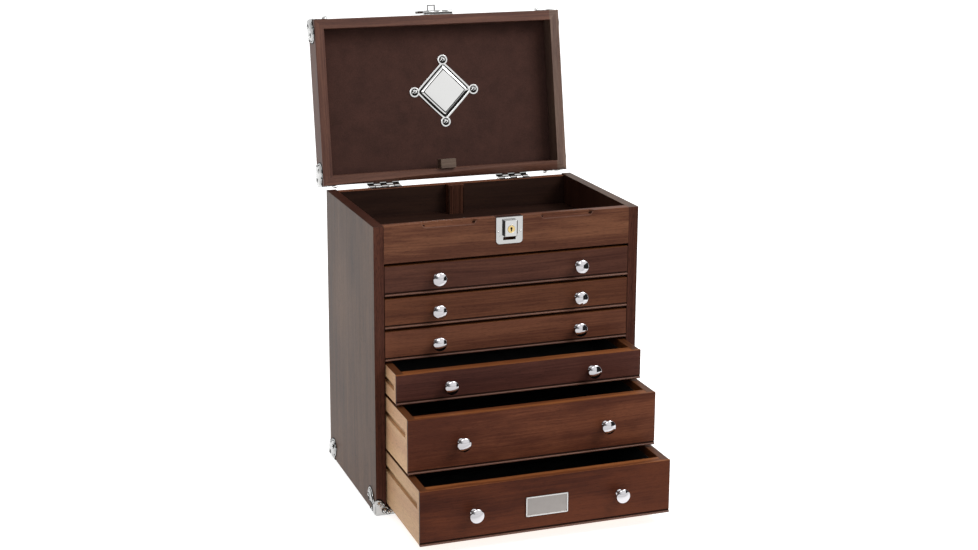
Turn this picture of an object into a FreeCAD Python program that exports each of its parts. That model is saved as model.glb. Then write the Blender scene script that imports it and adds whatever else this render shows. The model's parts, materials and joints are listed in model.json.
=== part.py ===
import FreeCAD, Part

import math
import os

# Collectors drawer chest: a brown wooden box on four metal corners, with a till under a hinged lid and
# six lined drawers. Millimetres. X runs to the right, Y to the back, Z up, and the origin is the middle
# of the underside. The drawers 4, 5 and 6 stand pulled out in equal steps and the lid stands open.

V = FreeCAD.Vector

# Case
WIDTH = 320.0
DEPTH = 203.0
HEIGHT = 340.0
BOARD = 12.0
BACK_T = 8.0
BACK_REBATE = 6.0
BACK_DROP = 1.3
BASE_T = 11.0
TILL_FLOOR_T = 6.0
TILL_PANEL_T = 11.0
HOUSING = 4.0
TONGUE_SET_BACK = 8.0
TONGUE_IN = 3.0
HALF_W = WIDTH / 2
HALF_D = DEPTH / 2
INNER_X = HALF_W - BOARD
BACK_IN = HALF_D - BACK_T
BACK_TOP = HEIGHT - BACK_DROP

# Drawers
SHALLOW = 34.6
DEEP = 62.8
GAP = 3.2
DRAWER_FACES = (SHALLOW, SHALLOW, SHALLOW, SHALLOW, DEEP, DEEP)
BAY_TOP = 297.0
PULLED_STEP = 41.5
PULLED_OUT = (0.0, 0.0, 0.0, PULLED_STEP, 2 * PULLED_STEP, 3 * PULLED_STEP)
FACE_HALF_W = 147.5
FACE_T = 12.0
FACE_LAP = 3.0
SIDE_OUT = 147.0
SIDE_T = 9.0
SIDE_BACK = 77.0
WALL_T = 6.0
WALL_DROP = 12.0
TRAY_T = 3.0
TRAY_LIFT = 2.5
FELT = 1.2
JOINT_IN = 3.0
BEAD_R = 1.0
BEAD_UP = 3.4
LINING_DROP = 9.0
LINING_UNDER_WALL = 1.0
SIDE_PAST_WALL = 2.0

# Runners of the drawers, and the groove that each runs in
RUNNER_OUT = 4.0
RUNNER_H = 6.0
GROOVE_DEEP = 3.5
GROOVE_H = 7.0
GROOVE_PLAY = 0.2
RUNNER_SHARE_SHALLOW = 0.5
RUNNER_SHARE_DEEP = 0.68

# Knobs
KNOB_X = 86.0
KNOB_R = 8.0
KNOB_HEAD = 4.2
KNOB_WAIST_R = 3.6
KNOB_OUT = 13.3

# Nameplate
PLATE_W = 49.5
PLATE_H = 22.8
PLATE_T = 0.8
PLATE_RIM = 1.4
PLATE_RIM_UP = 0.5
PLATE_X = -1.0
PLATE_DROP = 1.8

# Finger scoops in the top edge of the till's front
SCOOPS = ((-105.0, -38.0), (37.0, 104.0))
SCOOP_DEEP = 4.5
SCOOP_BACK = 3.6
SCOOP_TALL = 5.4
SCOOP_RUN = 4.0
SCOOP_TIP = 0.1

# Lid
LID_RIM_Z = HEIGHT + 0.3
LID_TOP_Z = HEIGHT + 30.0
LID_PANEL_T = 6.0
LID_REBATE = 6.0
LID_FELT = 1.0
LID_OPEN_DEG = 100.0
STRIKER_FRONT = 78.0
STRIKER_BELOW = 5.0
STRIKER_ABOVE = 9.0

# Hinges of the lid
PIVOT_Y = HALF_D + 6.5
PIVOT_Z = HEIGHT - 3.5
HINGE_X = 84.5
HINGE_W = 41.0
KNUCKLES = 5
BARREL_R = 3.6
PIN_R = 1.2
PIN_PLAY = 0.05
PIN_PROUD = 0.6
LEAF_T = 1.2
LEAF_FRONT = BACK_IN + 0.8
LEAF_NEAR = 5.4
LEAF_FAR = 25.8
KNUCKLE_PLAY = 0.1
STOP_GAP = 0.12
# Lug on the lid's leaf, as places outwards and downwards: first from the case's leaf, then from the pin
STOP_ON_LEAF = ((0.0, -10.5), (0.0, -6.5), (1.6, -10.5))
STOP_ON_PIN = ((-2.4, -1.2), (1.2, -2.6))

# Rod that locks the drawers when the lid is shut
ROD_HALF_W = 10.0
ROD_FRONT = 81.5
ROD_BACK = 93.2
ROD_TOP = 339.0
ROD_FOOT = 24.0
ROD_FLUTE_W = 9.2
ROD_FLUTE_DEEP = 1.5
ROD_TRAVEL = 4.4
ROD_PLAY = 0.4
HOOK_HALF_W = 8.0
HOOK_T = 2.0
HOOK_NOSE = 5.0
HOOK_TENON = 6.0
HOOK_FRONT = 64.5
HOOK_OVER = 1.0
SPRING_R = 4.0
SPRING_WIRE = 1.0
SPRING_SEAT_Z = 5.0
GUIDE_Z = (256.0, 144.0, 32.0)
GUIDE_TALL = 12.0
GUIDE_HALF_W = 16.0
GUIDE_KEEPER_T = 1.5

# Lock on the front panel
LOCK_HALF_W = 16.0
LOCK_LOW = 309.0
LOCK_T = 1.2
LOCK_ROUND = 4.5
CASE_HALF_W = 7.3
CASE_LOW = 318.0
CASE_HIGH = 337.0
CASE_OUT = 5.5
SLOT_HALF_W = 7.5
SLOT_LOW = 313.5
SLOT_HIGH = 317.0
PLUG_Z = 327.0
PLUG_R = 4.2
PLUG_PLAY = 0.08
CRANK_R = 3.5
CRANK_PIN_R = 0.6
CRANK_PIN_LONG = 2.6
CRANK_PIN_PLAY = 0.35
PLUG_PROUD = 0.4
KEYWAY_HALF_W = 0.7
KEYWAY_LOW = 2.6
KEYWAY_HIGH = 1.2
KEYWAY_DEEP = 2.0
KEY_EYE_R = 1.3
CASE_BEVEL = 0.7
MORTISE_HALF_W = 9.0
MORTISE_DEEP = 7.0
MORTISE_Z = (311.0, 334.0)
FLANGE_DEEP = 9.5
BOLT_Y = (-101.25, -99.25)
BOLT_HALF_W = 7.5
BOLT_Z = (322.0, 332.5)
BOLT_TONGUE_HALF_W = 3.0
BOLT_TONGUE_LOW = 318.2

# Hasp on the front of the lid
HASP_Y = -HALF_D - 3.5
HASP_Z = HEIGHT + 3.6
HASP_W = 37.0
HASP_BLOCK_W = 10.7
HASP_R = 2.2
HASP_PIN_R = 0.9
HASP_PIN_PROUD = 0.4
HASP_PLATE_LOW = 1.5
HASP_PLATE_HIGH = 21.0
HASP_SIDE_PLAY = 0.15
HASP_FOLD_DEG = 174.0
FLAP_T = 1.2
FLAP_LONG = 30.5
FLAP_CURL_R = 2.4
FLAP_CURL_TIP = 1.0
FLAP_HALF_W = 19.5
FLAP_NECK_HALF_W = 11.5
FLAP_SHOULDER = 13.0
FLAP_WING = 22.0
FLAP_ROOT = 2.7
TAB_ROOT = 0.5
TAB_LONG = 10.0
WINDOW_W = 17.0
WINDOW_PLAY = 0.7
STAPLE_Z = 315.6
STAPLE_H = 2.0
STAPLE_W = 10.5
STAPLE_OUT = 7.4
STAPLE_BAR = 1.5

# Metal corners. Each outline runs (u, v, bulge) inwards from the corner: u along, v up, except underneath
CORNER_T = 1.4
CORNER_BEVEL = 1.5
CORNER_OVER = 2.0
CORNER_SIDE_OF_CASE = (
    (-2.0, -2.0, 0), (27.0, -2.0, 0), (31.0, 9.5, 1.5), (39.5, 15.5, -2.5), (36.0, 26.0, -2.0),
    (27.5, 29.5, -2.0), (22.0, 13.5, 1.5), (-2.0, 19.0, 2.0),
)
CORNER_SIDE_OF_LID = (
    (-2.0, -2.0, 0), (23.0, -2.0, 0), (25.0, 7.5, 1.5), (32.5, 13.0, -2.0), (30.0, 22.0, -2.0),
    (22.0, 23.5, -2.0), (17.0, 12.5, 1.5), (-2.0, 17.0, 2.0),
)
CORNER_FRONT_OF_CASE = (
    (-2.0, -2.0, 0), (26.0, -2.0, 0), (10.0, 8.0, 2.5), (9.0, 14.5, -1.2), (3.5, 19.0, -1.2),
    (-2.0, 19.0, 0),
)
CORNER_FRONT_OF_LID = (
    (-2.0, -2.0, 0), (25.0, -2.0, 0), (21.5, 8.0, -1.8), (14.0, 7.0, -0.8), (7.5, 12.5, 1.5),
    (3.5, 17.0, -1.0), (-2.0, 17.0, 0),
)
CORNER_UNDER = ((-2.0, -2.0, 0), (25.0, -2.0, 0), (19.5, 19.5, -5.0), (-2.0, 25.0, -5.0))

# Diamond plate inside the lid
DIAMOND_X = 8.5
DIAMOND_Y = -7.0
DIAMOND_HALF = 37.0
DIAMOND_EAR = 39.5
DIAMOND_EAR_R = 6.4
DIAMOND_T = 0.9
DIAMOND_LINES = ((33.5, 31.5), (28.5, 27.0))
DIAMOND_LINE_UP = 0.5

NODES = {}


def block(xs, ys, zs):
    """A square-edged block between two places on each axis."""
    low = V(min(xs), min(ys), min(zs))
    return Part.makeBox(max(xs) - low.x, max(ys) - low.y, max(zs) - low.z, low)


def rod_along(axis, start, radius, length):
    """A round bar from a point along X, Y or Z."""
    return Part.makeCylinder(radius, length, start, axis)


def slab(points, axis, length):
    """A flat outline of straight sides, carried along an axis."""
    wire = Part.makePolygon(points + [points[0]])
    return Part.Face(wire).extrude(axis * length)


def joined(shapes):
    """One solid from pieces that touch."""
    return shapes[0].fuse(shapes[1:]).removeSplitter()


def group(shapes):
    """Several solids of the same kind in one node."""
    return Part.makeCompound(shapes)


def mirrored(shape):
    """The same shape on the other side of the chest."""
    return shape.mirror(V(0, 0, 0), V(1, 0, 0))


def opened(shape, degrees=-LID_OPEN_DEG):
    """A piece of the shut lid, turned about the hinge pins to where the lid stands."""
    turned = shape.copy()
    turned.rotate(V(0, PIVOT_Y, PIVOT_Z), V(1, 0, 0), degrees)
    return turned


def folded(shape):
    """A piece of the shut hasp, folded back over the front of the lid and opened with the lid."""
    turned = shape.copy()
    turned.rotate(V(0, HASP_Y, HASP_Z), V(1, 0, 0), -HASP_FOLD_DEG)
    return opened(turned)


def drawer_heights():
    """Bottom and top of each drawer face, from the top drawer down."""
    places = []
    top = BAY_TOP - GAP
    for tall in DRAWER_FACES:
        places.append((top - tall, top))
        top -= tall + GAP
    return places


def runner_z(low, high):
    """Middle of a drawer's runner: half way up a shallow drawer, higher on a deep one."""
    tall = high - low
    share = RUNNER_SHARE_DEEP if tall > SHALLOW + 1 else RUNNER_SHARE_SHALLOW
    return low + tall * share


def hook_z(high):
    """Underside of the hook's arm over the back wall of a drawer, with the rod up."""
    return high - WALL_DROP + HOOK_OVER + HOOK_NOSE


def case_boards():
    """Two sides with rebates and housings, back, base, till floor and the front panel of the till."""
    back = block((-INNER_X - BACK_REBATE, INNER_X + BACK_REBATE), (BACK_IN, HALF_D), (0, BACK_TOP))
    tongue = INNER_X + HOUSING
    base = block((-INNER_X, INNER_X), (-HALF_D, BACK_IN), (0, BASE_T))
    tongue_zs = (TONGUE_IN, BASE_T - TONGUE_IN)
    base_tongue = block((-tongue, tongue), (-HALF_D + TONGUE_SET_BACK, BACK_IN), tongue_zs)
    base = joined([base, base_tongue])
    seat_place = V(0, (ROD_FRONT + ROD_BACK) / 2, SPRING_SEAT_Z)
    spring_seat = rod_along(V(0, 0, 1), seat_place, SPRING_R + ROD_PLAY, BASE_T)
    floor_ys = (-HALF_D + TILL_PANEL_T, BACK_IN)
    floor = block((-tongue, tongue), floor_ys, (BAY_TOP, BAY_TOP + TILL_FLOOR_T))
    rod_way = block(
        (-ROD_HALF_W - ROD_PLAY, ROD_HALF_W + ROD_PLAY),
        (ROD_FRONT - ROD_PLAY, BACK_IN),
        (BAY_TOP - 1, BAY_TOP + TILL_FLOOR_T + 1),
    )
    side = block((INNER_X, HALF_W), (-HALF_D, HALF_D), (0, HEIGHT)).cut([back, base, floor])
    corners = bottom_let_in()
    NODES["side_left"] = mirrored(side).cut(corners)
    NODES["side_right"] = side.cut(corners)
    NODES["back_panel"] = back.cut(corners + [leaf_seat(x) for x in (-HINGE_X, HINGE_X)])
    NODES["base_board"] = base.cut(corners + [spring_seat])
    NODES["till_floor"] = floor.cut(rod_way)
    NODES["front_panel"] = till_panel()


def finger_scoop(start, end):
    """A stopped rebate in the top front edge of the till's panel: upright back, sloping lip and sloping ends."""
    wires = []
    rows = ((start, SCOOP_TIP), (start + SCOOP_RUN, 1.0), (end - SCOOP_RUN, 1.0), (end, SCOOP_TIP))
    for x, share in rows:
        corner = V(x, -HALF_D - 0.01, HEIGHT + 0.01)
        inwards, down = V(0, SCOOP_DEEP * share, 0), V(0, 0, SCOOP_TALL * share)
        back = V(0, 0, SCOOP_BACK * share)
        points = [corner, corner + inwards, corner + inwards - back, corner - down, corner]
        wires.append(Part.makePolygon(points))
    return Part.makeLoft(wires, True, True)


def till_panel():
    """Front of the till: two finger scoops, the mortise of the lock and the seat of its top flange."""
    panel = block((-INNER_X, INNER_X), (-HALF_D, -HALF_D + TILL_PANEL_T), (BAY_TOP, HEIGHT))
    mortise = block((-MORTISE_HALF_W, MORTISE_HALF_W), (-HALF_D, -HALF_D + MORTISE_DEEP), MORTISE_Z)
    flange_ys = (-HALF_D, -HALF_D + FLANGE_DEEP)
    flange_seat = block((-LOCK_HALF_W, LOCK_HALF_W), flange_ys, (HEIGHT - LOCK_T, HEIGHT))
    return panel.cut([mortise, flange_seat] + [finger_scoop(*ends) for ends in SCOOPS])


def case_runners():
    """Hardwood strips on the side boards that carry the drawers by the grooves in their sides."""
    strips = []
    for low, high in drawer_heights():
        middle = runner_z(low, high)
        strip = block(
            (INNER_X - RUNNER_OUT, INNER_X),
            (-HALF_D + FACE_T + 1.0, BACK_IN - 1.0),
            (middle - RUNNER_H / 2, middle + RUNNER_H / 2),
        )
        strips += [strip, mirrored(strip)]
    NODES["drawer_runners"] = group(strips)


def drawer(number, low, high, pulled):
    """One drawer: rebated face, two grooved sides and a lower back wall, bottom, felt and two knobs."""
    front_y = -HALF_D
    face_back = front_y + FACE_T
    inner = SIDE_OUT - SIDE_T
    tray_z = (low + TRAY_LIFT, low + TRAY_LIFT + TRAY_T)
    wall_back = SIDE_BACK - SIDE_PAST_WALL
    tray = block((-inner - JOINT_IN, inner + JOINT_IN), (face_back - JOINT_IN, wall_back), tray_z)
    side = block((inner, SIDE_OUT), (front_y + FACE_LAP, SIDE_BACK), (low, high))
    wall_ys = (wall_back - WALL_T, wall_back)
    wall = block((-inner - JOINT_IN, inner + JOINT_IN), wall_ys, (tray_z[1], high - WALL_DROP))
    middle = runner_z(low, high) - RUNNER_H / 2 + GROOVE_H / 2 - (GROOVE_H - RUNNER_H - GROOVE_PLAY)
    groove = block(
        (SIDE_OUT - GROOVE_DEEP, SIDE_OUT),
        (face_back - 0.5, SIDE_BACK),
        (middle - GROOVE_H / 2, middle + GROOVE_H / 2),
    )
    face = block((-FACE_HALF_W, FACE_HALF_W), (front_y, face_back), (low, high))
    lap = block((inner, FACE_HALF_W), (front_y + FACE_LAP, face_back), (low, high))
    bead = rod_along(V(1, 0, 0), V(-FACE_HALF_W, front_y, low + BEAD_UP), BEAD_R, 2 * FACE_HALF_W)
    face = face.cut([lap, mirrored(lap), bead, tray])
    grooved = side.cut([groove, tray, wall])
    felt = block((-inner, inner), (face_back, wall_ys[0]), (tray_z[1], high - LINING_DROP))
    hollow = block(
        (-inner + FELT, inner - FELT),
        (face_back + FELT, wall_ys[0] - FELT),
        (tray_z[1] + FELT, high),
    )
    felt_back_top = high - WALL_DROP - LINING_UNDER_WALL
    over_wall = block((-inner, inner), (wall_ys[0] - FELT, wall_ys[0]), (felt_back_top, high))
    felt = felt.cut([hollow, over_wall])
    pieces = {
        "front": face,
        "box": group([grooved, mirrored(grooved), wall]),
        "bottom": tray,
        "lining": felt,
        "knobs": group([knob(x, (low + high) / 2) for x in (-KNOB_X, KNOB_X)]),
    }
    for name, shape in pieces.items():
        NODES[f"drawer_{number}_{name}"] = shape.translate(V(0, -pulled, 0))


def knob(x, z):
    """A turned metal knob: a waist and a broad flat head."""
    front, waist = -HALF_D - KNOB_OUT, KNOB_OUT - KNOB_HEAD
    head = rod_along(V(0, 1, 0), V(x, front, z), KNOB_R, KNOB_HEAD)
    return joined([head, rod_along(V(0, 1, 0), V(x, front + KNOB_HEAD, z), KNOB_WAIST_R, waist)])


def nameplate():
    """A bare plate with a raised rim on the bottom drawer's face."""
    low, high = drawer_heights()[-1]
    z = (low + high) / 2 - PLATE_DROP
    front_y = -HALF_D - PULLED_OUT[-1]

    def panel(inset, from_y, to_y):
        xs = (PLATE_X - PLATE_W / 2 + inset, PLATE_X + PLATE_W / 2 - inset)
        return block(xs, (from_y, to_y), (z - PLATE_H / 2 + inset, z + PLATE_H / 2 - inset))

    top = front_y - PLATE_T
    rim = panel(0, top - PLATE_RIM_UP, top).cut(panel(PLATE_RIM, top - PLATE_RIM_UP, top))
    NODES["nameplate"] = joined([panel(0, top, front_y), rim])


def lock_rod():
    """A fluted bar at the back of the till that the shut lid presses down, its hooks, guides and spring."""
    bar = block((-ROD_HALF_W, ROD_HALF_W), (ROD_FRONT, ROD_BACK), (ROD_FOOT, ROD_TOP))
    flute = block(
        (-ROD_FLUTE_W / 2, ROD_FLUTE_W / 2),
        (ROD_FRONT, ROD_FRONT + ROD_FLUTE_DEEP),
        (BAY_TOP - 2, ROD_TOP),
    )
    hooks = []
    for low, high in drawer_heights():
        z = hook_z(high)
        points = [
            V(-HOOK_HALF_W, HOOK_FRONT, z - HOOK_NOSE),
            V(-HOOK_HALF_W, HOOK_FRONT, z + HOOK_T),
            V(-HOOK_HALF_W, ROD_FRONT + HOOK_TENON, z + HOOK_T),
            V(-HOOK_HALF_W, ROD_FRONT + HOOK_TENON, z),
            V(-HOOK_HALF_W, HOOK_FRONT + HOOK_T, z),
            V(-HOOK_HALF_W, HOOK_FRONT + HOOK_T, z - HOOK_NOSE),
        ]
        hooks.append(slab(points, V(1, 0, 0), 2 * HOOK_HALF_W))
    NODES["rod_hooks"] = group(hooks)
    NODES["lock_rod"] = bar.cut([flute] + hooks)
    guides = []
    keeper_front = ROD_FRONT - ROD_PLAY - GUIDE_KEEPER_T
    for z in GUIDE_Z:
        guide = block((-GUIDE_HALF_W, GUIDE_HALF_W), (keeper_front, BACK_IN), (z, z + GUIDE_TALL))
        way = block(
            (-ROD_HALF_W - ROD_PLAY, ROD_HALF_W + ROD_PLAY),
            (ROD_FRONT - ROD_PLAY, BACK_IN),
            (z, z + GUIDE_TALL),
        )
        guides.append(guide.cut(way))
    NODES["rod_guides"] = group(guides)
    NODES["rod_spring"] = return_spring()


def return_spring():
    """The spring under the rod, drawn as the sleeve that its turns fill."""
    centre = V(0, (ROD_FRONT + ROD_BACK) / 2, SPRING_SEAT_Z)
    tall = ROD_FOOT - SPRING_SEAT_Z
    sleeve = rod_along(V(0, 0, 1), centre, SPRING_R, tall)
    return sleeve.cut(rod_along(V(0, 0, 1), centre, SPRING_R - SPRING_WIRE, tall))


def lock():
    """Plate with a top flange and a slot, raised case, key plug with a crank pin, and the bolt it moves."""
    front = -HALF_D
    plate = block((-LOCK_HALF_W, LOCK_HALF_W), (front - LOCK_T, front), (LOCK_LOW, HEIGHT))
    low_edges = [e for e in plate.Edges if abs(e.CenterOfMass.z - LOCK_LOW) < 0.01]
    upright = [e for e in plate.Edges if abs(e.CenterOfMass.y - front + LOCK_T / 2) < 0.01]
    rounded = [e for e in upright if any(e.CenterOfMass.z == x.CenterOfMass.z for x in low_edges)]
    plate = plate.makeFillet(LOCK_ROUND, rounded)
    flange = block((-LOCK_HALF_W, LOCK_HALF_W), (front, front + FLANGE_DEEP), (HEIGHT - LOCK_T, HEIGHT))
    slot = block((-SLOT_HALF_W, SLOT_HALF_W), (front - LOCK_T, front), (SLOT_LOW, SLOT_HIGH))
    case_front = front - LOCK_T - CASE_OUT
    bore = rod_along(V(0, 1, 0), V(0, case_front, PLUG_Z), PLUG_R + PLUG_PLAY, front - case_front)
    NODES["lock_plate"] = joined([plate, flange]).cut([slot, bore])

    housing = block((-CASE_HALF_W, CASE_HALF_W), (case_front, front - LOCK_T), (CASE_LOW, CASE_HIGH))
    bevelled = [e for e in housing.Edges if abs(e.CenterOfMass.y - case_front) < 0.01]
    NODES["lock_case"] = housing.makeChamfer(CASE_BEVEL, bevelled).cut(bore)

    face = case_front - PLUG_PROUD
    plug = rod_along(V(0, 1, 0), V(0, face, PLUG_Z), PLUG_R, front - face)
    keyway_zs = (PLUG_Z - KEYWAY_LOW, PLUG_Z + KEYWAY_HIGH)
    keyway = block((-KEYWAY_HALF_W, KEYWAY_HALF_W), (face, face + KEYWAY_DEEP), keyway_zs)
    eye = rod_along(V(0, 1, 0), V(0, face, PLUG_Z + KEYWAY_HIGH), KEY_EYE_R, KEYWAY_DEEP)
    reach = CRANK_R * math.cos(math.radians(45))
    crank = rod_along(V(0, 1, 0), V(reach, front, PLUG_Z + reach), CRANK_PIN_R, CRANK_PIN_LONG)
    NODES["key_plug"] = joined([plug.cut([keyway, eye]), crank])

    body = block((-BOLT_HALF_W, BOLT_HALF_W), BOLT_Y, BOLT_Z)
    tongue = block((-BOLT_TONGUE_HALF_W, BOLT_TONGUE_HALF_W), BOLT_Y, (BOLT_TONGUE_LOW, BOLT_Z[0]))
    play = CRANK_PIN_R + CRANK_PIN_PLAY
    way = block((reach - play, CRANK_R + play), BOLT_Y, (PLUG_Z + reach - play, PLUG_Z + reach + play))
    NODES["lock_bolt"] = joined([body, tongue]).cut(way)


def knuckle_spans():
    """Ends of each hinge knuckle along the pin, from the middle of the hinge."""
    share = HINGE_W / KNUCKLES
    return [
        (-HINGE_W / 2 + i * share + KNUCKLE_PLAY, -HINGE_W / 2 + (i + 1) * share - KNUCKLE_PLAY)
        for i in range(KNUCKLES)
    ]


def leaf_seat(x):
    """What the back gives up in its top edge for a leaf of the case."""
    half = HINGE_W / 2
    return block((x - half, x + half), (LEAF_FRONT, HALF_D), (BACK_TOP - LEAF_T, BACK_TOP))


def case_leaf(x, spans):
    """A leaf let into the top edge of the back and bent down its outside, with its knuckles."""
    half = HINGE_W / 2
    top_zs = (BACK_TOP - LEAF_T, BACK_TOP)
    pieces = [
        block((x - half, x + half), (LEAF_FRONT, HALF_D + LEAF_T), top_zs),
        block((x - half, x + half), (HALF_D, HALF_D + LEAF_T), (PIVOT_Z - LEAF_FAR, BACK_TOP)),
    ]
    for start, end in spans:
        pieces.append(rod_along(V(1, 0, 0), V(x + start, PIVOT_Y, PIVOT_Z), BARREL_R, end - start))
        pieces.append(block((x + start, x + end), (HALF_D, PIVOT_Y - PIN_R - PIN_PLAY), top_zs))
    return joined(pieces).cut(pin_hole(x))


def lid_leaf(x, spans):
    """A leaf on the back of the lid, cranked out to its knuckles, each with a lug that stops the lid."""
    half = HINGE_W / 2
    near, far = PIVOT_Z + LEAF_NEAR, PIVOT_Z + LEAF_FAR
    pieces = [block((x - half, x + half), (HALF_D, HALF_D + LEAF_T), (near, far))]
    for start, end in spans:
        crank = [
            V(x + start, HALF_D, near),
            V(x + start, HALF_D + LEAF_T, near + LEAF_T),
            V(x + start, PIVOT_Y + 0.6, PIVOT_Z + BARREL_R - 0.1),
            V(x + start, PIVOT_Y - 1.4, PIVOT_Z + 0.6),
        ]
        pieces.append(slab(crank, V(1, 0, 0), end - start))
        pieces.append(rod_along(V(1, 0, 0), V(x + start, PIVOT_Y, PIVOT_Z), BARREL_R, end - start))
        pieces.append(stop_lug(x + start, end - start))
    return joined(pieces).cut(pin_hole(x))


def pin_hole(x):
    """The bore of a hinge's pin, through all its knuckles."""
    return rod_along(V(1, 0, 0), V(x - HINGE_W, PIVOT_Y, PIVOT_Z), PIN_R + PIN_PLAY, 2 * HINGE_W)


def stop_lug(x, length):
    """A lug that meets the case's leaf when the lid stands open. Drawn open, turned back to shut."""
    face = HALF_D + LEAF_T + STOP_GAP
    low, top, out = [V(x, face + y, PIVOT_Z + z) for y, z in STOP_ON_LEAF]
    points = [low, top] + [V(x, PIVOT_Y + y, PIVOT_Z + z) for y, z in STOP_ON_PIN] + [out]
    return opened(slab(points, V(1, 0, 0), length), LID_OPEN_DEG)


def hinges():
    """Two butt hinges of five knuckles, three on the case and two on the lid, each on one pin."""
    spans = knuckle_spans()
    places = (-HINGE_X, HINGE_X)
    NODES["hinge_case_leaves"] = group([case_leaf(x, spans[0::2]) for x in places])
    NODES["hinge_lid_leaves"] = group([opened(lid_leaf(x, spans[1::2])) for x in places])
    pins = []
    for x in places:
        start = V(x - HINGE_W / 2 - PIN_PROUD, PIVOT_Y, PIVOT_Z)
        pins.append(rod_along(V(1, 0, 0), start, PIN_R, HINGE_W + 2 * PIN_PROUD))
    NODES["hinge_pins"] = group(pins)


def lid_wood():
    """Four mitred rails with a rebate for the panel, the panel, its felt and the striker of the rod."""
    zs = (LID_RIM_Z, LID_TOP_Z)
    panel_low = LID_TOP_Z - LID_PANEL_T
    panel_x = INNER_X + LID_REBATE
    panel_y = HALF_D - BOARD + LID_REBATE
    panel = block((-panel_x, panel_x), (-panel_y, panel_y), (panel_low, LID_TOP_Z))
    side_points = [
        V(HALF_W, -HALF_D, zs[0]),
        V(HALF_W, HALF_D, zs[0]),
        V(INNER_X, HALF_D - BOARD, zs[0]),
        V(INNER_X, -HALF_D + BOARD, zs[0]),
    ]
    front_points = [
        V(-HALF_W, -HALF_D, zs[0]),
        V(HALF_W, -HALF_D, zs[0]),
        V(INNER_X, -HALF_D + BOARD, zs[0]),
        V(-INNER_X, -HALF_D + BOARD, zs[0]),
    ]
    side = slab(side_points, V(0, 0, 1), zs[1] - zs[0])
    front = slab(front_points, V(0, 0, 1), zs[1] - zs[0])
    back = front.mirror(V(0, 0, 0), V(0, 1, 0))
    rails = [rail.cut(panel) for rail in (side, mirrored(side), front, back)]
    NODES["lid_rails"] = opened(group(rails))
    NODES["lid_panel"] = opened(panel)
    felt = block((-INNER_X, INNER_X), (-HALF_D + BOARD, HALF_D - BOARD), (panel_low - LID_FELT, panel_low))
    NODES["lid_lining"] = opened(felt)
    striker_zs = (HEIGHT - STRIKER_BELOW, HEIGHT + STRIKER_ABOVE)
    striker = block((-ROD_HALF_W, ROD_HALF_W), (STRIKER_FRONT, HALF_D - BOARD), striker_zs)
    NODES["striker_block"] = opened(striker)


def diamond_plate():
    """A pressed plate on the lid's felt: a square on its corner with raised lines and four round ears."""
    low = LID_TOP_Z - LID_PANEL_T - LID_FELT

    def diamond(half, from_z, to_z):
        points = [V(half, 0, from_z), V(0, half, from_z), V(-half, 0, from_z), V(0, -half, from_z)]
        return slab(points, V(0, 0, 1), to_z - from_z)

    face = low - DIAMOND_T
    pieces = [diamond(DIAMOND_HALF, face, low)]
    for x, y in ((1, 0), (0, 1), (-1, 0), (0, -1)):
        centre = V(x * DIAMOND_EAR, y * DIAMOND_EAR, face)
        pieces.append(rod_along(V(0, 0, 1), centre, DIAMOND_EAR_R, DIAMOND_T))
    for outer, inner in DIAMOND_LINES:
        line = diamond(outer, face - DIAMOND_LINE_UP, face)
        pieces.append(line.cut(diamond(inner, face - DIAMOND_LINE_UP, face)))
    plate = joined(pieces).translate(V(DIAMOND_X, DIAMOND_Y, 0))
    NODES["diamond_plate"] = opened(plate)


def hasp():
    """Base on the lid's front with two knuckles, and a winged flap with window, curled end and staple."""
    front = -HALF_D
    plate_zs = (LID_RIM_Z + HASP_PLATE_LOW, LID_RIM_Z + HASP_PLATE_HIGH)
    plate = block((-HASP_W / 2, HASP_W / 2), (front - FLAP_T, front), plate_zs)
    gap = HASP_BLOCK_W / 2 + HASP_SIDE_PLAY
    bore = rod_along(V(1, 0, 0), V(-HASP_W, HASP_Y, HASP_Z), HASP_PIN_R + PIN_PLAY, 2 * HASP_W)
    pieces = [plate]
    for side in (-1, 1):
        start = min(side * gap, side * HASP_W / 2)
        length = HASP_W / 2 - gap
        pieces.append(rod_along(V(1, 0, 0), V(start, HASP_Y, HASP_Z), HASP_R, length))
        web_zs = (HASP_Z, HASP_Z + HASP_R)
        pieces.append(block((start, start + length), (HASP_Y, front), web_zs))
    NODES["hasp_base"] = opened(joined(pieces).cut(bore))
    pin_start = V(-HASP_W / 2 - HASP_PIN_PROUD, HASP_Y, HASP_Z)
    pin_long = HASP_W + 2 * HASP_PIN_PROUD
    NODES["hasp_pin"] = opened(rod_along(V(1, 0, 0), pin_start, HASP_PIN_R, pin_long))

    back = HASP_Y + FLAP_T / 2
    far = HASP_Z - FLAP_LONG
    tab_half = HASP_BLOCK_W / 2
    tab = block((-tab_half, tab_half), (back - FLAP_T, back), (HASP_Z - TAB_LONG, HASP_Z - TAB_ROOT))
    barrel = rod_along(V(1, 0, 0), V(-tab_half, HASP_Y, HASP_Z), HASP_R, HASP_BLOCK_W)
    window_zs = (CASE_LOW - WINDOW_PLAY, CASE_HIGH + WINDOW_PLAY)
    window = block((-WINDOW_W / 2, WINDOW_W / 2), (back - FLAP_T, back), window_zs)
    staple_zs = (STAPLE_Z - STAPLE_H / 2, STAPLE_Z + STAPLE_H / 2)
    staple = block((-STAPLE_W / 2, STAPLE_W / 2), (back, back + STAPLE_OUT), staple_zs)
    eye = STAPLE_W / 2 - STAPLE_BAR
    staple = staple.cut(block((-eye, eye), (back, back + STAPLE_OUT - STAPLE_BAR), staple_zs))
    leaf = flap_leaf().translate(V(0, back, 0))
    flap = joined([leaf.cut(window), tab.cut(window), barrel, flap_curl(back, far), staple])
    NODES["hasp_flap"] = folded(flap.cut(bore))


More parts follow.
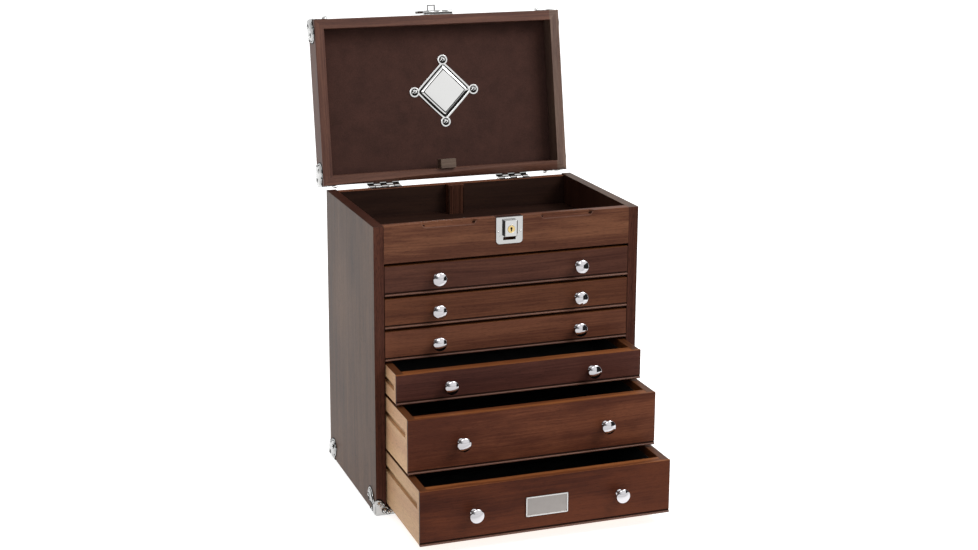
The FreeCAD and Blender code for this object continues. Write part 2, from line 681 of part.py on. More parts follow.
def flap_leaf():
    """The flap's outline, hanging: a neck below the knuckles that swings out into two wings."""
    root, low = HASP_Z - FLAP_ROOT, HASP_Z - FLAP_LONG
    shoulder, wing = HASP_Z - FLAP_SHOULDER, HASP_Z - FLAP_WING
    outline = [
        (-FLAP_NECK_HALF_W, root, 0), (-FLAP_NECK_HALF_W, shoulder, 0), (-FLAP_HALF_W, wing, 1.2),
        (-FLAP_HALF_W, low, 0), (FLAP_HALF_W, low, 0), (FLAP_HALF_W, wing, 0),
        (FLAP_NECK_HALF_W, shoulder, 1.2), (FLAP_NECK_HALF_W, root, 0),
    ]
    leaf = curve(outline).extrude(V(0, 0, FLAP_T))
    leaf.rotate(V(0, 0, 0), V(1, 0, 0), 90)
    return leaf


def flap_curl(back, far):
    """The lower end of the flap, rolled outwards for a finger."""
    centre = V(-FLAP_HALF_W, back - FLAP_CURL_R, far)
    long = 2 * FLAP_HALF_W
    tube = Part.makeCylinder(FLAP_CURL_R, long, centre, V(1, 0, 0))
    tube = tube.cut(Part.makeCylinder(FLAP_CURL_R - FLAP_T, long, centre, V(1, 0, 0)))
    kept = block((-FLAP_HALF_W, FLAP_HALF_W), (centre.y - FLAP_CURL_TIP, back), (far - FLAP_CURL_R, far))
    return tube.common(kept)


def curve(points):
    """An outline through points, where each (u, v, bulge) bends the run to it by that much sideways."""
    edges = []
    points = list(points)
    for (u0, v0, _), (u1, v1, bulge) in zip(points, points[1:] + points[:1]):
        start, end = V(u0, v0, 0), V(u1, v1, 0)
        if bulge:
            run = end - start
            across = V(-run.y, run.x, 0).normalize() * bulge
            edges.append(Part.Arc(start, (start + end) * 0.5 + across, end).toShape())
        else:
            edges.append(Part.makeLine(start, end))
    return Part.Face(Part.Wire(edges))


def corner_prisms(tall_side):
    """Outlines of the three plates of a corner, each pushed through the shell as a short prism.

    A corner at the origin, with the chest at +X, +Y and +Z of it: u and v run in from the corner."""
    side_leaf = CORNER_SIDE_OF_CASE if tall_side else CORNER_SIDE_OF_LID
    front_leaf = CORNER_FRONT_OF_CASE if tall_side else CORNER_FRONT_OF_LID
    over = CORNER_OVER
    side = curve(side_leaf).extrude(V(0, 0, over))
    side.rotate(V(0, 0, 0), V(1, 1, 1), 120)
    side = side.translate(V(-over, 0, 0))
    front = curve(front_leaf).extrude(V(0, 0, over))
    front.rotate(V(0, 0, 0), V(1, 0, 0), 90)
    under = curve(CORNER_UNDER).extrude(V(0, 0, 2 * over)).translate(V(0, 0, -over))
    return side, front, under


def metal_corner(tall_side, let_in):
    """A pressed corner: three leaf-shaped plates that meet in bevelled edges.

    Drawn at the origin with the chest at +X, +Y and +Z of it. A let-in plate lies flush underneath."""
    reach = 2 * HALF_W
    z_low = 0.0 if let_in else -CORNER_T
    tip = V(-CORNER_T, -CORNER_T, z_low)
    outer = Part.makeBox(reach, reach, reach, tip)
    near = [e for e in outer.Edges if corner_edge(e, tip)]
    outer = outer.makeChamfer(CORNER_BEVEL, near)
    inner = Part.makeBox(reach, reach, reach, V(0, 0, z_low + CORNER_T))
    shell = outer.cut(inner)
    return joined([shell.common(prism) for prism in corner_prisms(tall_side)])


def corner_edge(edge, corner):
    """Whether an edge of the block ends at the given corner."""
    return any((v.Point - corner).Length < 0.01 for v in edge.Vertexes)


def set_at_corners(shape, z, upside_down):
    """The same corner at the four corners of a rectangle, two of them mirrored."""
    if upside_down:
        shape = shape.mirror(V(0, 0, 0), V(0, 0, 1))
    front_left = shape.translate(V(-HALF_W, -HALF_D, z))
    back_left = front_left.mirror(V(0, 0, 0), V(0, 1, 0))
    return [front_left, back_left, mirrored(front_left), mirrored(back_left)]


def bottom_let_in():
    """What the boards give up underneath for the let-in plates of the four corners."""
    under = corner_prisms(True)[2]
    plate = under.common(Part.makeBox(HALF_W, HALF_D, CORNER_T))
    return set_at_corners(plate, 0, False)


def metal_corners():
    """Four corners under the chest and four on top of the lid."""
    NODES["base_corners"] = group(set_at_corners(metal_corner(True, True), 0, False))
    lid = set_at_corners(metal_corner(False, False), LID_TOP_Z, True)
    NODES["lid_corners"] = group([opened(corner) for corner in lid])


def build():
    """Every piece in its place."""
    case_boards()
    case_runners()
    for number, ((low, high), pulled) in enumerate(zip(drawer_heights(), PULLED_OUT), 1):
        drawer(number, low, high, pulled)
    nameplate()
    lock_rod()
    lock()
    hinges()
    lid_wood()
    diamond_plate()
    hasp()
    metal_corners()


build()
os.makedirs("parts", exist_ok=True)
for node, shape in NODES.items():
    if not shape.isValid():
        print("not valid:", node)
    shape.exportStep(f"parts/{node}.step")
print(len(NODES), "nodes")
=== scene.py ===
"""Looks of a collectors drawer chest: stained walnut, pale drawer boxes, felt, bright nickel and a studio.

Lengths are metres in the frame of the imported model: X to the right, Y to the back, Z up. A size with MM
after it is written in millimetres. New pieces are surfaces that numpy works out from the frame's boxes.
"""

import json
import math

import bmesh
import bpy
import numpy as np
from bpy.props import FloatProperty, FloatVectorProperty, PointerProperty
from mathutils import Matrix, Vector


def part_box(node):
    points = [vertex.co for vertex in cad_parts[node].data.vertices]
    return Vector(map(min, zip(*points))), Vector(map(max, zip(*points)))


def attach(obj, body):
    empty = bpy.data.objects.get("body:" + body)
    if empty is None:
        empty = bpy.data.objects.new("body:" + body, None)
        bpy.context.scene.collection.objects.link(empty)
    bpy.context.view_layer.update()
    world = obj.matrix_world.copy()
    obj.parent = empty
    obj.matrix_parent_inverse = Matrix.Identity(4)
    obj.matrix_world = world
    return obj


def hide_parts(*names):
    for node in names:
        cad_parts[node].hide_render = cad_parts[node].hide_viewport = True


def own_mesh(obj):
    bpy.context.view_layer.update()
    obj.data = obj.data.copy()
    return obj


bl_info = {
    "name": "Collectors drawer chest",
    "version": (1, 0, 0),
    "blender": (4, 5, 0),
    "location": "View3D > Sidebar > Chest",
    "description": "Dresses the packed drawer chest with wood, felt, metal and a studio",
    "category": "Object",
}

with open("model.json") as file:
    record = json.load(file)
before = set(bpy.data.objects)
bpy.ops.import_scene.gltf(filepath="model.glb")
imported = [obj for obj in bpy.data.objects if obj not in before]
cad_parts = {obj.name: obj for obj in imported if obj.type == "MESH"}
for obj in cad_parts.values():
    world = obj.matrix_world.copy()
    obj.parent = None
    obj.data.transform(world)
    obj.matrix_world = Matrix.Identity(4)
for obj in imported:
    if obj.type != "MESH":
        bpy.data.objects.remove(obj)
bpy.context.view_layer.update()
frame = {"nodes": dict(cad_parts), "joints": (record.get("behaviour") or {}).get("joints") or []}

MM = 0.001
DRAWERS = [f"drawer_{number}" for number in range(1, 7)]
HALF_W = 160.0 * MM
HALF_D = 101.5 * MM
CASE_H = 340.0 * MM
LID_TOP = 370.0 * MM
LID_HINGE = next(j for j in frame["joints"] if j["name"] == "lid_hinge")
PIVOT = np.array(LID_HINGE["pos_m"], float)
LID_ANGLE = math.radians(LID_HINGE["range_deg"][1])
HINGE_PLACES = (-84.5 * MM, 84.5 * MM)
DIAMOND_PLACE = np.array([8.5, -7.0, 363.0]) * MM
FRONT, BACK, DOWN = np.array([(0.0, -1.0, 0.0), (0.0, 1.0, 0.0), (0.0, 0.0, -1.0)])


# Shapes


def box(name):
    """The low and the high corner of a CAD node's box."""
    return [np.array(corner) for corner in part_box(name)]


def opened(points):
    """Points of the shut lid, turned back about the hinge pins to where the lid stands.

    y' = cos a * y + sin a * z and z' = -sin a * y + cos a * z, both counted from the pins."""
    c, s = math.cos(LID_ANGLE), math.sin(LID_ANGLE)
    return (np.array(points, float) - PIVOT) @ np.array([(1, 0, 0), (0, c, -s), (0, s, c)]) + PIVOT


def around(count):
    """Angles at equal steps round a full turn."""
    return np.linspace(0, 2 * math.pi, count, endpoint=False)


def smooth_line(points, steps):
    """A curve through points, in cubics that run at each point along the line between its neighbours."""
    p = np.array(points, float)
    p = np.vstack([2 * p[0] - p[1], p, 2 * p[-1] - p[-2]])
    t = np.linspace(0, 1, steps, endpoint=False)[None, :, None]
    a, b, c, d = (p[i : len(p) - 3 + i, None, :] for i in range(4))
    run = b + 0.5 * t * (c - a + t * (2 * a - 5 * b + 4 * c - d + t * (3 * (b - c) + d - a)))
    return np.vstack([run.reshape(-1, p.shape[1]), p[-2]])


def strand(path, normal, wide, tall, segments=8):
    """A bar of oval section along a path: each ring is wide cos t across it and tall sin t along the normal.

    It tapers to a point at both ends."""
    normal = np.array(normal, float)
    across = np.cross(np.gradient(path, axis=0), normal)
    across /= np.linalg.norm(across, axis=1, keepdims=True)
    size = np.ones((len(path), 1, 1))
    size[0] = size[-1] = 0.0
    t = around(segments)[None, :, None]
    return path[:, None] + size * (wide * np.cos(t) * across[:, None] + tall * np.sin(t) * normal)


def front_line(points, count, wide, tall):
    """A strand that faces the front, with its rings at equal steps along the straight runs of a path."""
    path = np.array(points)
    length = np.concatenate([[0], np.cumsum(np.linalg.norm(np.diff(path, axis=0), axis=1))])
    at = np.linspace(0, length[-1], count)
    return strand(np.stack([np.interp(at, length, path[:, k]) for k in range(3)], -1), FRONT, wide, tall)


# Two directions across an axis, and the axis
TURNS = {
    "right": ((0, 1, 0), (0, 0, 1), (1, 0, 0)),
    "front": ((1, 0, 0), (0, 0, 1), (0, -1, 0)),
    "down": ((1, 0, 0), (0, 1, 0), (0, 0, -1)),
}


def turned(profile, way, centre, segments, divisor=1.0):
    """A profile of (radius, height) carried round an axis that points to the right, the front or down.

    At angle t it is the centre + radius / divisor * (first cos t + second sin t) + height * axis."""
    first, second, axis = np.array(TURNS[way], float)
    t = around(segments)[None, :, None]
    radius, height = profile[:, 0, None, None] / divisor, profile[:, 1, None, None]
    return np.array(centre) + radius * (np.cos(t) * first + np.sin(t) * second) + height * axis


def facing(grid, outward):
    """The grid, with its columns turned round where its faces look away from the given direction."""
    along, down = np.roll(grid, -1, axis=1) - grid, grid[1:] - grid[:-1]
    area = np.cross(along[:-1], down).sum((0, 1))
    return grid if area @ np.array(outward, float) > 0 else grid[:, ::-1]


def screw_head(centre, normal, radius, rise, angle, crossed=False):
    """A domed head with a straight or crossed slot, as a height over a disc.

    Across the slot v runs from -1 to 1, and along it u, over the chord sqrt(1 - v2) of the disc. The height
    is rise * (1 - (u2 + v2)) ^ 0.6, and between the slot's walls it drops by 0.45 of the radius."""
    half, wall = 0.15, 0.02
    side = np.sin(np.linspace(math.asin(half + wall), math.pi / 2, 7))
    v = np.concatenate([-side[::-1], [-half, 0, half], side])[:, None]
    u = np.sin(v.T * math.pi / 2)
    x = u * np.sqrt(1 - v**2)
    dome = rise * np.clip(1 - x**2 - v**2, 0, 1) ** 0.6
    in_slot = (np.abs(v) <= half) | (crossed & (np.abs(x) <= 1.6 * half))
    height = dome - 0.45 * radius * (in_slot & (dome > 0))
    normal = np.array(normal, float)
    first = np.cross((0.0, 0.0, 1.0) if abs(normal[2]) < 0.9 else (0.0, 1.0, 0.0), normal)
    along = math.cos(angle) * first + math.sin(angle) * np.cross(normal, first)
    across = np.cross(normal, along)
    disc = x[..., None] * along + v[..., None] * across
    return np.array(centre) + radius * disc + height[..., None] * normal


def screw_shade(centre, normal, radius, rise, angle):
    """A dark strip of painted shade over a screw's dome, as high as rise * (1 - s2) at s radii, and a ring of
    painted shade round its head.
    """
    normal = np.array(normal, float)
    right = np.cross(normal, (0.3, 0.5, 0.81))
    right /= np.linalg.norm(right)
    up = np.cross(normal, right)
    s = np.linspace(-0.8, 0.8, 8)[:, None]
    way = math.cos(angle) * right + math.sin(angle) * up
    path = centre + s * radius * way + normal * (rise * (1 - s**2) - 0.12 * radius)
    t = np.linspace(0, 2 * math.pi, 33)[:, None]
    ring = centre + 1.08 * radius * (np.cos(t) * right + np.sin(t) * up)
    return [strand(path, normal, 0.16 * radius, 0.2 * radius),
            strand(ring, normal, 0.2 * radius, 0.15 * radius)]


# Pieces


def linked(name, data):
    """A new object in the scene, for a mesh, a light or a camera."""
    made = bpy.data.objects.new(name, data)
    bpy.context.scene.collection.objects.link(made)
    return made


def grid_faces(rows, columns, closed):
    """Four-sided faces between neighbours of a grid of points, whose columns may close on themselves."""
    r = np.arange(rows - 1)[:, None] * columns
    c = np.arange(columns if closed else columns - 1)[None, :]
    after = (c + 1) % columns
    return np.stack([r + c, r + after, r + columns + after, r + columns + c], -1).reshape(-1, 4)


def piece(name, grids, finish, body, wrap=True, shell=True, sharp=30.0):
    """A mesh object from grids of points, with doubles merged, smooth but for edges sharper than an angle.

    Each grid is (rows, columns, 3). Wrapped grids join their last column to their first. The normals of a
    closed shell are turned outwards; an open sheet keeps the side that its grid gives it."""
    faces, count = [], 0
    for grid in grids:
        rows, columns = grid.shape[:2]
        faces.append(grid_faces(rows, columns, wrap) + count)
        count += rows * columns
    mesh = bpy.data.meshes.new(name)
    mesh.from_pydata(np.vstack([grid.reshape(-1, 3) for grid in grids]), [], np.vstack(faces))
    work = bmesh.new()
    work.from_mesh(mesh)
    bmesh.ops.remove_doubles(work, verts=work.verts, dist=2e-6)
    bmesh.ops.dissolve_degenerate(work, dist=1e-6, edges=work.edges)
    if shell:
        bmesh.ops.recalc_face_normals(work, faces=work.faces)
    work.to_mesh(mesh)
    work.free()
    mesh.shade_smooth()
    mesh.set_sharp_from_angle(angle=math.radians(sharp))
    mesh.materials.append(bpy.data.materials[finish])
    made = linked(name, mesh)
    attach(made, body)
    return made


def painted_shade_piece(name, grids, body):
    """The dark gaps and lines in or beside a body's hardware, as painted shade."""
    return piece(name, grids, "dark_gap", body)


def dress(node_name, finish, edge=None):
    """Gives a CAD node its material, and rounds its edges where an edge is given."""
    made = frame["nodes"][node_name]
    made.data.materials.clear()
    made.data.materials.append(bpy.data.materials[finish])
    if edge:
        made.modifiers.new("merge", "WELD").merge_threshold = 0.01 * MM
        bevel = made.modifiers.new("arris", "BEVEL")
        bevel.width = edge
        bevel.segments = 2
        bevel.limit_method = "ANGLE"
        bevel.angle_limit = math.radians(50)


# Materials


class Nodes:
    """The nodes of a material or of the world, with a method for each kind that the looks use."""

    def __init__(self, owner, shader):
        owner.use_nodes = True
        self.tree = owner.node_tree
        self.shader = self.tree.nodes[shader]
        self.coordinates = self.add("ShaderNodeTexCoord").outputs
        self.place = self.coordinates["Object"]

    def add(self, kind, inputs=(), **settings):
        """Adds a node. An input takes a value, or the output socket that it is joined to."""
        made = self.tree.nodes.new(kind)
        for key, value in settings.items():
            setattr(made, key, value)
        for key, value in dict(inputs).items():
            if isinstance(value, bpy.types.NodeSocket):
                self.tree.links.new(value, made.inputs[key])
            else:
                made.inputs[key].default_value = value
        return made

    def join(self, name, output):
        """Joins an output to an input of the shader."""
        self.tree.links.new(output, self.shader.inputs[name])

    def math(self, operation, first, second=0.0, third=0.0, clamp=False):
        """One step of arithmetic."""
        inputs = {0: first, 1: second, 2: third}
        return self.add("ShaderNodeMath", inputs, operation=operation, use_clamp=clamp).outputs[0]

    def vector(self, operation, first, second, output="Vector"):
        """One step of arithmetic on vectors."""
        return self.add("ShaderNodeVectorMath", {0: first, 1: second}, operation=operation).outputs[output]

    def part(self, vector, axis):
        """One coordinate of a vector."""
        return self.add("ShaderNodeSeparateXYZ", {0: vector}).outputs[axis]

    def mapped(self, vector, **inputs):
        """A vector scaled, turned and slid."""
        return self.add("ShaderNodeMapping", {"Vector": vector, **inputs}).outputs[0]

    def noise(self, vector, scale, detail=2.0, roughness=0.5, output=0):
        """A cloudy pattern from 0 to 1. A scale with three numbers makes it long along the smallest."""
        if isinstance(scale, tuple):
            vector, scale = self.mapped(vector, Scale=scale), 1.0
        inputs = {"Vector": vector, "Scale": scale, "Detail": detail, "Roughness": roughness}
        return self.add("ShaderNodeTexNoise", inputs).outputs[output]

    def ramp(self, factor, *stops):
        """A colour ramp through stops of (place, colour), where one number stands for a grey."""
        made = self.add("ShaderNodeValToRGB", {0: factor})
        made.color_ramp.interpolation = "B_SPLINE"
        while len(made.color_ramp.elements) < len(stops):
            made.color_ramp.elements.new(0.5)
        for element, (place, colour) in zip(made.color_ramp.elements, stops):
            element.position = place
            element.color = (*np.broadcast_to(colour, 3).tolist(), 1)
        return made.outputs["Color"]

    def mixed(self, factor, first, second, blend="MIX"):
        """Two colours mixed."""
        inputs = {"Factor": factor, 6: first, 7: second}
        return self.add("ShaderNodeMix", inputs, data_type="RGBA", blend_type=blend).outputs[2]

    def bump(self, height, strength, distance):
        """Fine relief from a height pattern."""
        inputs = {"Height": height, "Strength": strength, "Distance": distance}
        self.join("Normal", self.add("ShaderNodeBump", inputs).outputs[0])


def material(name, **constants):
    """A new material's nodes, with the shader's plain numbers and colours set on its sockets."""
    tree = Nodes(bpy.data.materials.new(name), "Principled BSDF")
    for key, value in constants.items():
        tree.shader.inputs[key.replace("_", " ")].default_value = value
    return tree


GRAIN_TURNS = {"x": (0, 0, 0), "y": (0, 0, math.pi / 2), "z": (0, math.pi / 2, 0), "mitred": (0, 0, 0)}
X, Y, Z, FROM_MIDDLE = range(4)
BELOW, ABOVE = -1, 1


def mitred_place(tree):
    """Coordinates of the lid's rails: the grain turns where the ways in from both edges match."""
    c, s = math.cos(LID_ANGLE), math.sin(LID_ANGLE)
    away = tree.vector("SUBTRACT", tree.place, tuple(PIVOT))
    deep = tree.math("ADD", tree.vector("DOT_PRODUCT", away, (0, c, -s), "Value"), float(PIVOT[1]))
    tall = tree.vector("DOT_PRODUCT", away, (0, s, c), "Value")
    wide = tree.part(tree.place, X)
    from_side = tree.math("SUBTRACT", HALF_W, tree.math("ABSOLUTE", wide))
    from_end = tree.math("SUBTRACT", HALF_D, tree.math("ABSOLUTE", deep))
    inputs = {"Factor": tree.math("LESS_THAN", from_side, from_end)}
    for socket, parts in ((4, (wide, deep, tall)), (5, (deep, wide, tall))):
        inputs[socket] = tree.add("ShaderNodeCombineXYZ", dict(enumerate(parts))).outputs[0]
    return tree.add("ShaderNodeMix", inputs, data_type="VECTOR").outputs[1]


def wood(name, colours, grain="x", seed=0.0, roughness=0.5, specular=0.12, contrast=1.0, rings=0.2, slant=0.0,
         pores=0.4, zones=()):
    """Stained wood: fine streaks, broader bands, bent growth rings, blotches of stain and short dark pores.

    Each zone is (axis, side, place, colours): what lies beyond the place on that side of the axis takes
    those colours, such as a board's inner face, painted darker as shade, or its stained edge."""
    tree = material(name, Roughness=roughness, Specular_IOR_Level=specular)
    place = mitred_place(tree) if grain == "mitred" else tree.place
    board = tree.mapped(place, Rotation=GRAIN_TURNS[grain], Location=(seed, 0.37 * seed, 0.11 * seed))
    bend = tree.vector("SUBTRACT", tree.noise(board, (2.5, 8, 8), output="Color"), (0.5, 0.5, 0.5))
    bent = tree.vector("ADD", board, tree.vector("MULTIPLY", bend, (0, 0.022, 0.022)))
    streak = tree.noise(bent, (9, 480, 480), 5.0, 0.6)
    band = tree.noise(bent, (2.2, 62, 62), 3.0)
    blotch = tree.noise(board, (6, 13, 13), 3.0, 0.55)
    pore = tree.math("MULTIPLY_ADD", tree.noise(bent, (150, 3300, 3300), 1.0), -6.0, 2.75, clamp=True)
    slanted = tree.mapped(bent, Rotation=(0, slant, 0), Scale=(0.3, 1, 1))
    inputs = {"Vector": slanted, "Scale": 26.0, "Distortion": 2.5, "Detail": 3.0, "Detail Scale": 2.0}
    ring = tree.add("ShaderNodeTexWave", inputs, wave_type="RINGS", rings_direction="X").outputs["Fac"]
    shares = ((streak, 0.9 * contrast), (band, 0.4 * contrast), (blotch, 0.7 * contrast), (ring, rings))
    tone = 0.5 - 0.5 * sum(share for _, share in shares)
    for pattern, share in shares:
        tone = tree.math("MULTIPLY_ADD", pattern, share, tone)
    colour = stain(tree, tone, colours)
    for *edge, other in zones:
        colour = tree.mixed(beyond(tree, *edge), colour, stain(tree, tone, other))
    shade = tree.math("MULTIPLY_ADD", pore, -pores, 1.0)
    grey = tree.add("ShaderNodeCombineColor", {0: shade, 1: shade, 2: shade}).outputs[0]
    tree.join("Base Color", tree.mixed(1.0, colour, grey, "MULTIPLY"))
    tree.join("Roughness", tree.math("MULTIPLY_ADD", streak, 0.14, roughness - 0.07))
    tree.bump(tree.math("MULTIPLY_ADD", pore, -0.6, streak), 0.2, 0.1 * MM)


def stain(tree, tone, colours):
    """The stain over the tone of the grain, from its dark to its light colour."""
    dark, light = np.array(colours)
    return tree.ramp(tone, (0.2, dark), (0.5, 0.5 * (dark + light)), (0.8, light))


def beyond(tree, axis, side, place):
    """1 beyond a place on an axis of the object, or beyond that distance from its middle in X."""
    if axis == FROM_MIDDLE:
        value = tree.math("ABSOLUTE", tree.part(tree.place, X))
    else:
        value = tree.part(tree.place, axis)
    return tree.math("GREATER_THAN" if side == ABOVE else "LESS_THAN", value, place)


def felt(name, colour, dark, sheen):
    """Matt felt: a mottled colour with a darker share, short tangled hairs and a soft sheen."""
    tree = material(name, Roughness=0.95, Sheen_Weight=sheen, Sheen_Roughness=0.5, Specular_IOR_Level=0.15)
    cloud = tree.noise(tree.place, 45.0, 5.0, 0.7)
    hair = tree.noise(tree.place, 700.0, 3.0, 0.8)
    tone = tree.math("MULTIPLY_ADD", cloud, 1.4, tree.math("MULTIPLY_ADD", hair, 1.4, -0.85))
    tree.join("Base Color", tree.ramp(tone, (0.25, tinted(colour, dark)), (0.8, tuple(colour))))
    tree.bump(hair, 0.5, 0.25 * MM)


def metal(name, colour, roughness, scratch=0.05, dents=0.0, zones=()):
    """Plated or bare metal: cloudy wear in its gloss, hairline scratches and, where asked, small dents.

    A zone (axis, side, place, colour) takes a darker colour as painted shade, like a side that lies in a gap."""
    shown = (*colour, 1)
    tree = material(name, Metallic=1.0, Base_Color=shown)
    cloud = tree.noise(tree.place, 140.0, 3.0, 0.6)
    tree.join("Roughness", tree.math("MULTIPLY_ADD", cloud, roughness, 0.5 * roughness))
    height = tree.math("MULTIPLY", tree.noise(tree.place, (300, 4000, 900)), scratch)
    if dents:
        height = tree.math("MULTIPLY_ADD", tree.noise(tree.place, 420.0), dents, height)
    tree.bump(height, 1.0, 0.03 * MM)
    # Each zone paints its colour as shade over what lies beyond its place
    for *edge, other in zones:
        shown = tree.mixed(beyond(tree, *edge), shown, (*other, 1))
        tree.join("Base Color", shown)


def tinted(colour, tint):
    """A colour times a number, or times one number for each of its channels."""
    return tuple((np.array(colour) * tint).tolist())


def spread(colour, tint=1.0, dark=0.62, light=1.45):
    """The dark and light colour of a stain round its middle one."""
    middle = np.array(colour) * tint
    return middle * dark * np.array([1.03, 0.93, 0.95]), middle * light * np.array([0.98, 1.07, 1.03])


# Properties


def number_property(name, about, default, **more):
    """A number that a user can change."""
    return FloatProperty(name=name, description=about, default=default, **more)


def length_property(name, about, default):
    """A length that a user can change."""
    return number_property(name, about, default, unit="LENGTH", min=0, precision=5)


def colour_property(name, about, default):
    """A colour that a user can change."""
    more = {"size": 3, "subtype": "COLOR", "min": 0, "max": 1}
    return FloatVectorProperty(name=name, description=about, default=default, **more)


class ChestFinishes(bpy.types.PropertyGroup):
    """Colours of the woods, felts and metals."""

    walnut: colour_property("Walnut", "Middle colour of the stained fronts", (0.078, 0.0255, 0.0135))
    lid_wood: colour_property("Lid wood", "Middle colour of the lid's rails", (0.098, 0.036, 0.0225))
    low_rail: colour_property("Low rail", "Lid's rail at the hinges", (0.103, 0.041, 0.027))
    right_rail: colour_property("Right rail", "Lid's rail at the right", (0.135, 0.080, 0.060))
    striker: colour_property("Striker", "Block inside the lid", (0.115, 0.072, 0.052))
    side: colour_property("Sides", "Middle colour of the side boards' outer faces", (0.082, 0.041, 0.025))
    # Darker colour of the faces inside the case and till: painted shade
    inside: colour_property("Inside", "Darker inside the case and till, as painted shade", (0.020, 0.0075, 0.0045))
    edge_stain: colour_property("Edge stain", "Stain on the top edges of the drawers", (0.175, 0.054, 0.0165))
    front_edge: colour_property("Front edge", "Stain on the sides' front edges", (0.074, 0.0235, 0.0145))
    # Painted shade: darker colour on the left side's top edge
    top_left: colour_property("Left top edge", "Painted shade on the left side's top edge", (0.04, 0.0125, 0.0075))
    top_back: colour_property("Back top edge", "Stain on the back's top edge", (0.13, 0.045, 0.022))
    # Lighter edges: partly rubbed wear, partly painted highlight
    worn: colour_property("Rubbed and highlighted edge", "Lighter edges of beads and finger scoops, rubbed and with painted highlight", (0.115, 0.046, 0.029))
    maple: colour_property("Maple", "Middle colour of the drawer boxes", (0.54, 0.325, 0.180))
    lid_felt: colour_property("Lid felt", "Felt in the lid", (0.060, 0.0245, 0.0180))
    drawer_felt: colour_property("Drawer felt", "Felt in the drawers", (0.0090, 0.0065, 0.0060))
    nickel: colour_property("Nickel", "Bright plated hardware", (0.80, 0.80, 0.79))
    plate: colour_property("Brushed plate", "Bare nameplate", (0.335, 0.31, 0.295))
    # Painted shade: the near black of the gap, groove, slot and hole pieces round the hardware
    dark_gap: colour_property("Dark gap", "Painted shade in the gaps round the hardware", (0.012, 0.011, 0.010))
    steel: colour_property("Steel", "Plain steel pins, hooks and bolt", (0.50, 0.50, 0.51))
    brass: colour_property("Brass", "Key plug of the lock", (0.84, 0.63, 0.28))


class ChestSizes(bpy.types.PropertyGroup):
    """Sizes of the small details that the scene adds."""

    arris: length_property("Arris", "Rounding of the boards' edges", 0.5 * MM)
    metal_arris: length_property("Metal arris", "Rounding of the plates' edges", 0.22 * MM)
    felt_bend: length_property("Felt bend", "Radius where the felt turns up a wall", 2.2 * MM)
    screw_radius: length_property("Screw radius", "Domed screws of the metal corners", 2.2 * MM)
    screw_rise: length_property("Screw rise", "Height of the domed screws", 1.2 * MM)
    small_screw: length_property("Small screw radius", "Screws of hinges, hasp and diamond plate", 1.9 * MM)
    corner_thickness: length_property("Corner thickness", "Height of the pressed corners", 1.4 * MM)
    corner_bend: length_property("Corner bend", "Radius of the pressed corners' edges", 2.4 * MM)
    bead_radius: length_property("Bead", "Radius of the bead along each drawer front", 1.15 * MM)


class ChestStudio(bpy.types.PropertyGroup):
    """Camera and light."""

    lens: number_property("Lens", "Focal length for a 36 mm sensor", 60.744, unit="CAMERA")
    key_power: number_property("Key light", "Soft light from the upper right", 44.0, unit="POWER")
    fill_power: number_property("Fill light", "Soft light from the front", 7.0, unit="POWER")
    sky: number_property("Surround", "Brightness of the white surround", 1.0)
    floor_glow: number_property("Floor glow", "Light from the floor, as on a light table", 0.85)


# Operators


class CHEST_OT_finishes(bpy.types.Operator):
    """Make the materials of the woods, felts and metals"""

    bl_idname = "chest.finishes"
    bl_label = "Finishes"

    def execute(self, context):
        colours = context.scene.chest_finishes
        for make in (case_woods, drawer_woods, lid_and_rod_woods, felts, metals):
            make(colours)
        return {"FINISHED"}


def case_woods(p):
    """Walnut of the case. The side boards are stained on their front faces, painted darker as shade on their
    inner faces, the right one less so as painted light, and on the left one's top face.
    """
    inside = spread(p.inside)
    front = (Y, BELOW, -HALF_D + 0.3 * MM, spread(p.front_edge, 0.86))
    # inner scales the painted shade on each side's inner face; the right one is lifted 2.4 times as painted
    # light
    for side, seed, top, inner in (("left", 2.2, p.top_left, 0.35), ("right", 5.9, p.side, 2.4)):
        wood(
            f"walnut_side_{side}", spread(p.side, 1.1, 0.42, 1.6), grain="z", seed=seed, roughness=0.42,
            specular=0.09, contrast=1.4, rings=0.05, pores=0.8,
            zones=(front, (FROM_MIDDLE, BELOW, HALF_W - 11.7 * MM, spread(p.inside, inner)),
                   (Z, ABOVE, CASE_H - 0.3 * MM, spread(top))),
        )
    # The back's inner face takes the darker inside colour as painted shade
    inner, top = (Y, BELOW, HALF_D - 7.7 * MM, inside), (Z, ABOVE, CASE_H - 2.2 * MM, spread(p.top_back, 1.2))
    wood("walnut_back", spread(p.walnut), seed=1.3, zones=(inner, top))
    wood("walnut_case", spread(p.walnut, 0.8), seed=1.3)
    wood("walnut_inside", inside, seed=9.3)
    # The panel's back face takes the darker inside colour as painted shade
    wood("walnut_till", spread(tinted(p.walnut, (1.58, 1.75, 1.75))), seed=4.1, contrast=1.5, rings=0.35,
         slant=0.1, zones=((Y, ABOVE, -HALF_D + 10.7 * MM, inside),))
    # Lighter and glossier: rubbed wear with a painted highlight
    wood("walnut_worn", spread(p.worn), seed=3.3, roughness=0.4, specular=0.3)
    # Darker than the inside colour: painted shade in grooves, flutes and the scoops' ends
    wood("walnut_groove", spread(p.inside, 0.8), seed=6.3, specular=0.05)


FRONT_TINTS = ((0.86, 0.88, 1.05), (1.16, 1.12, 1.02), (1.45, 1.45, 1.45), (0.80, 0.74, 0.98),
               (1.40, 1.22, 1.08), (0.86, 0.60, 0.42))


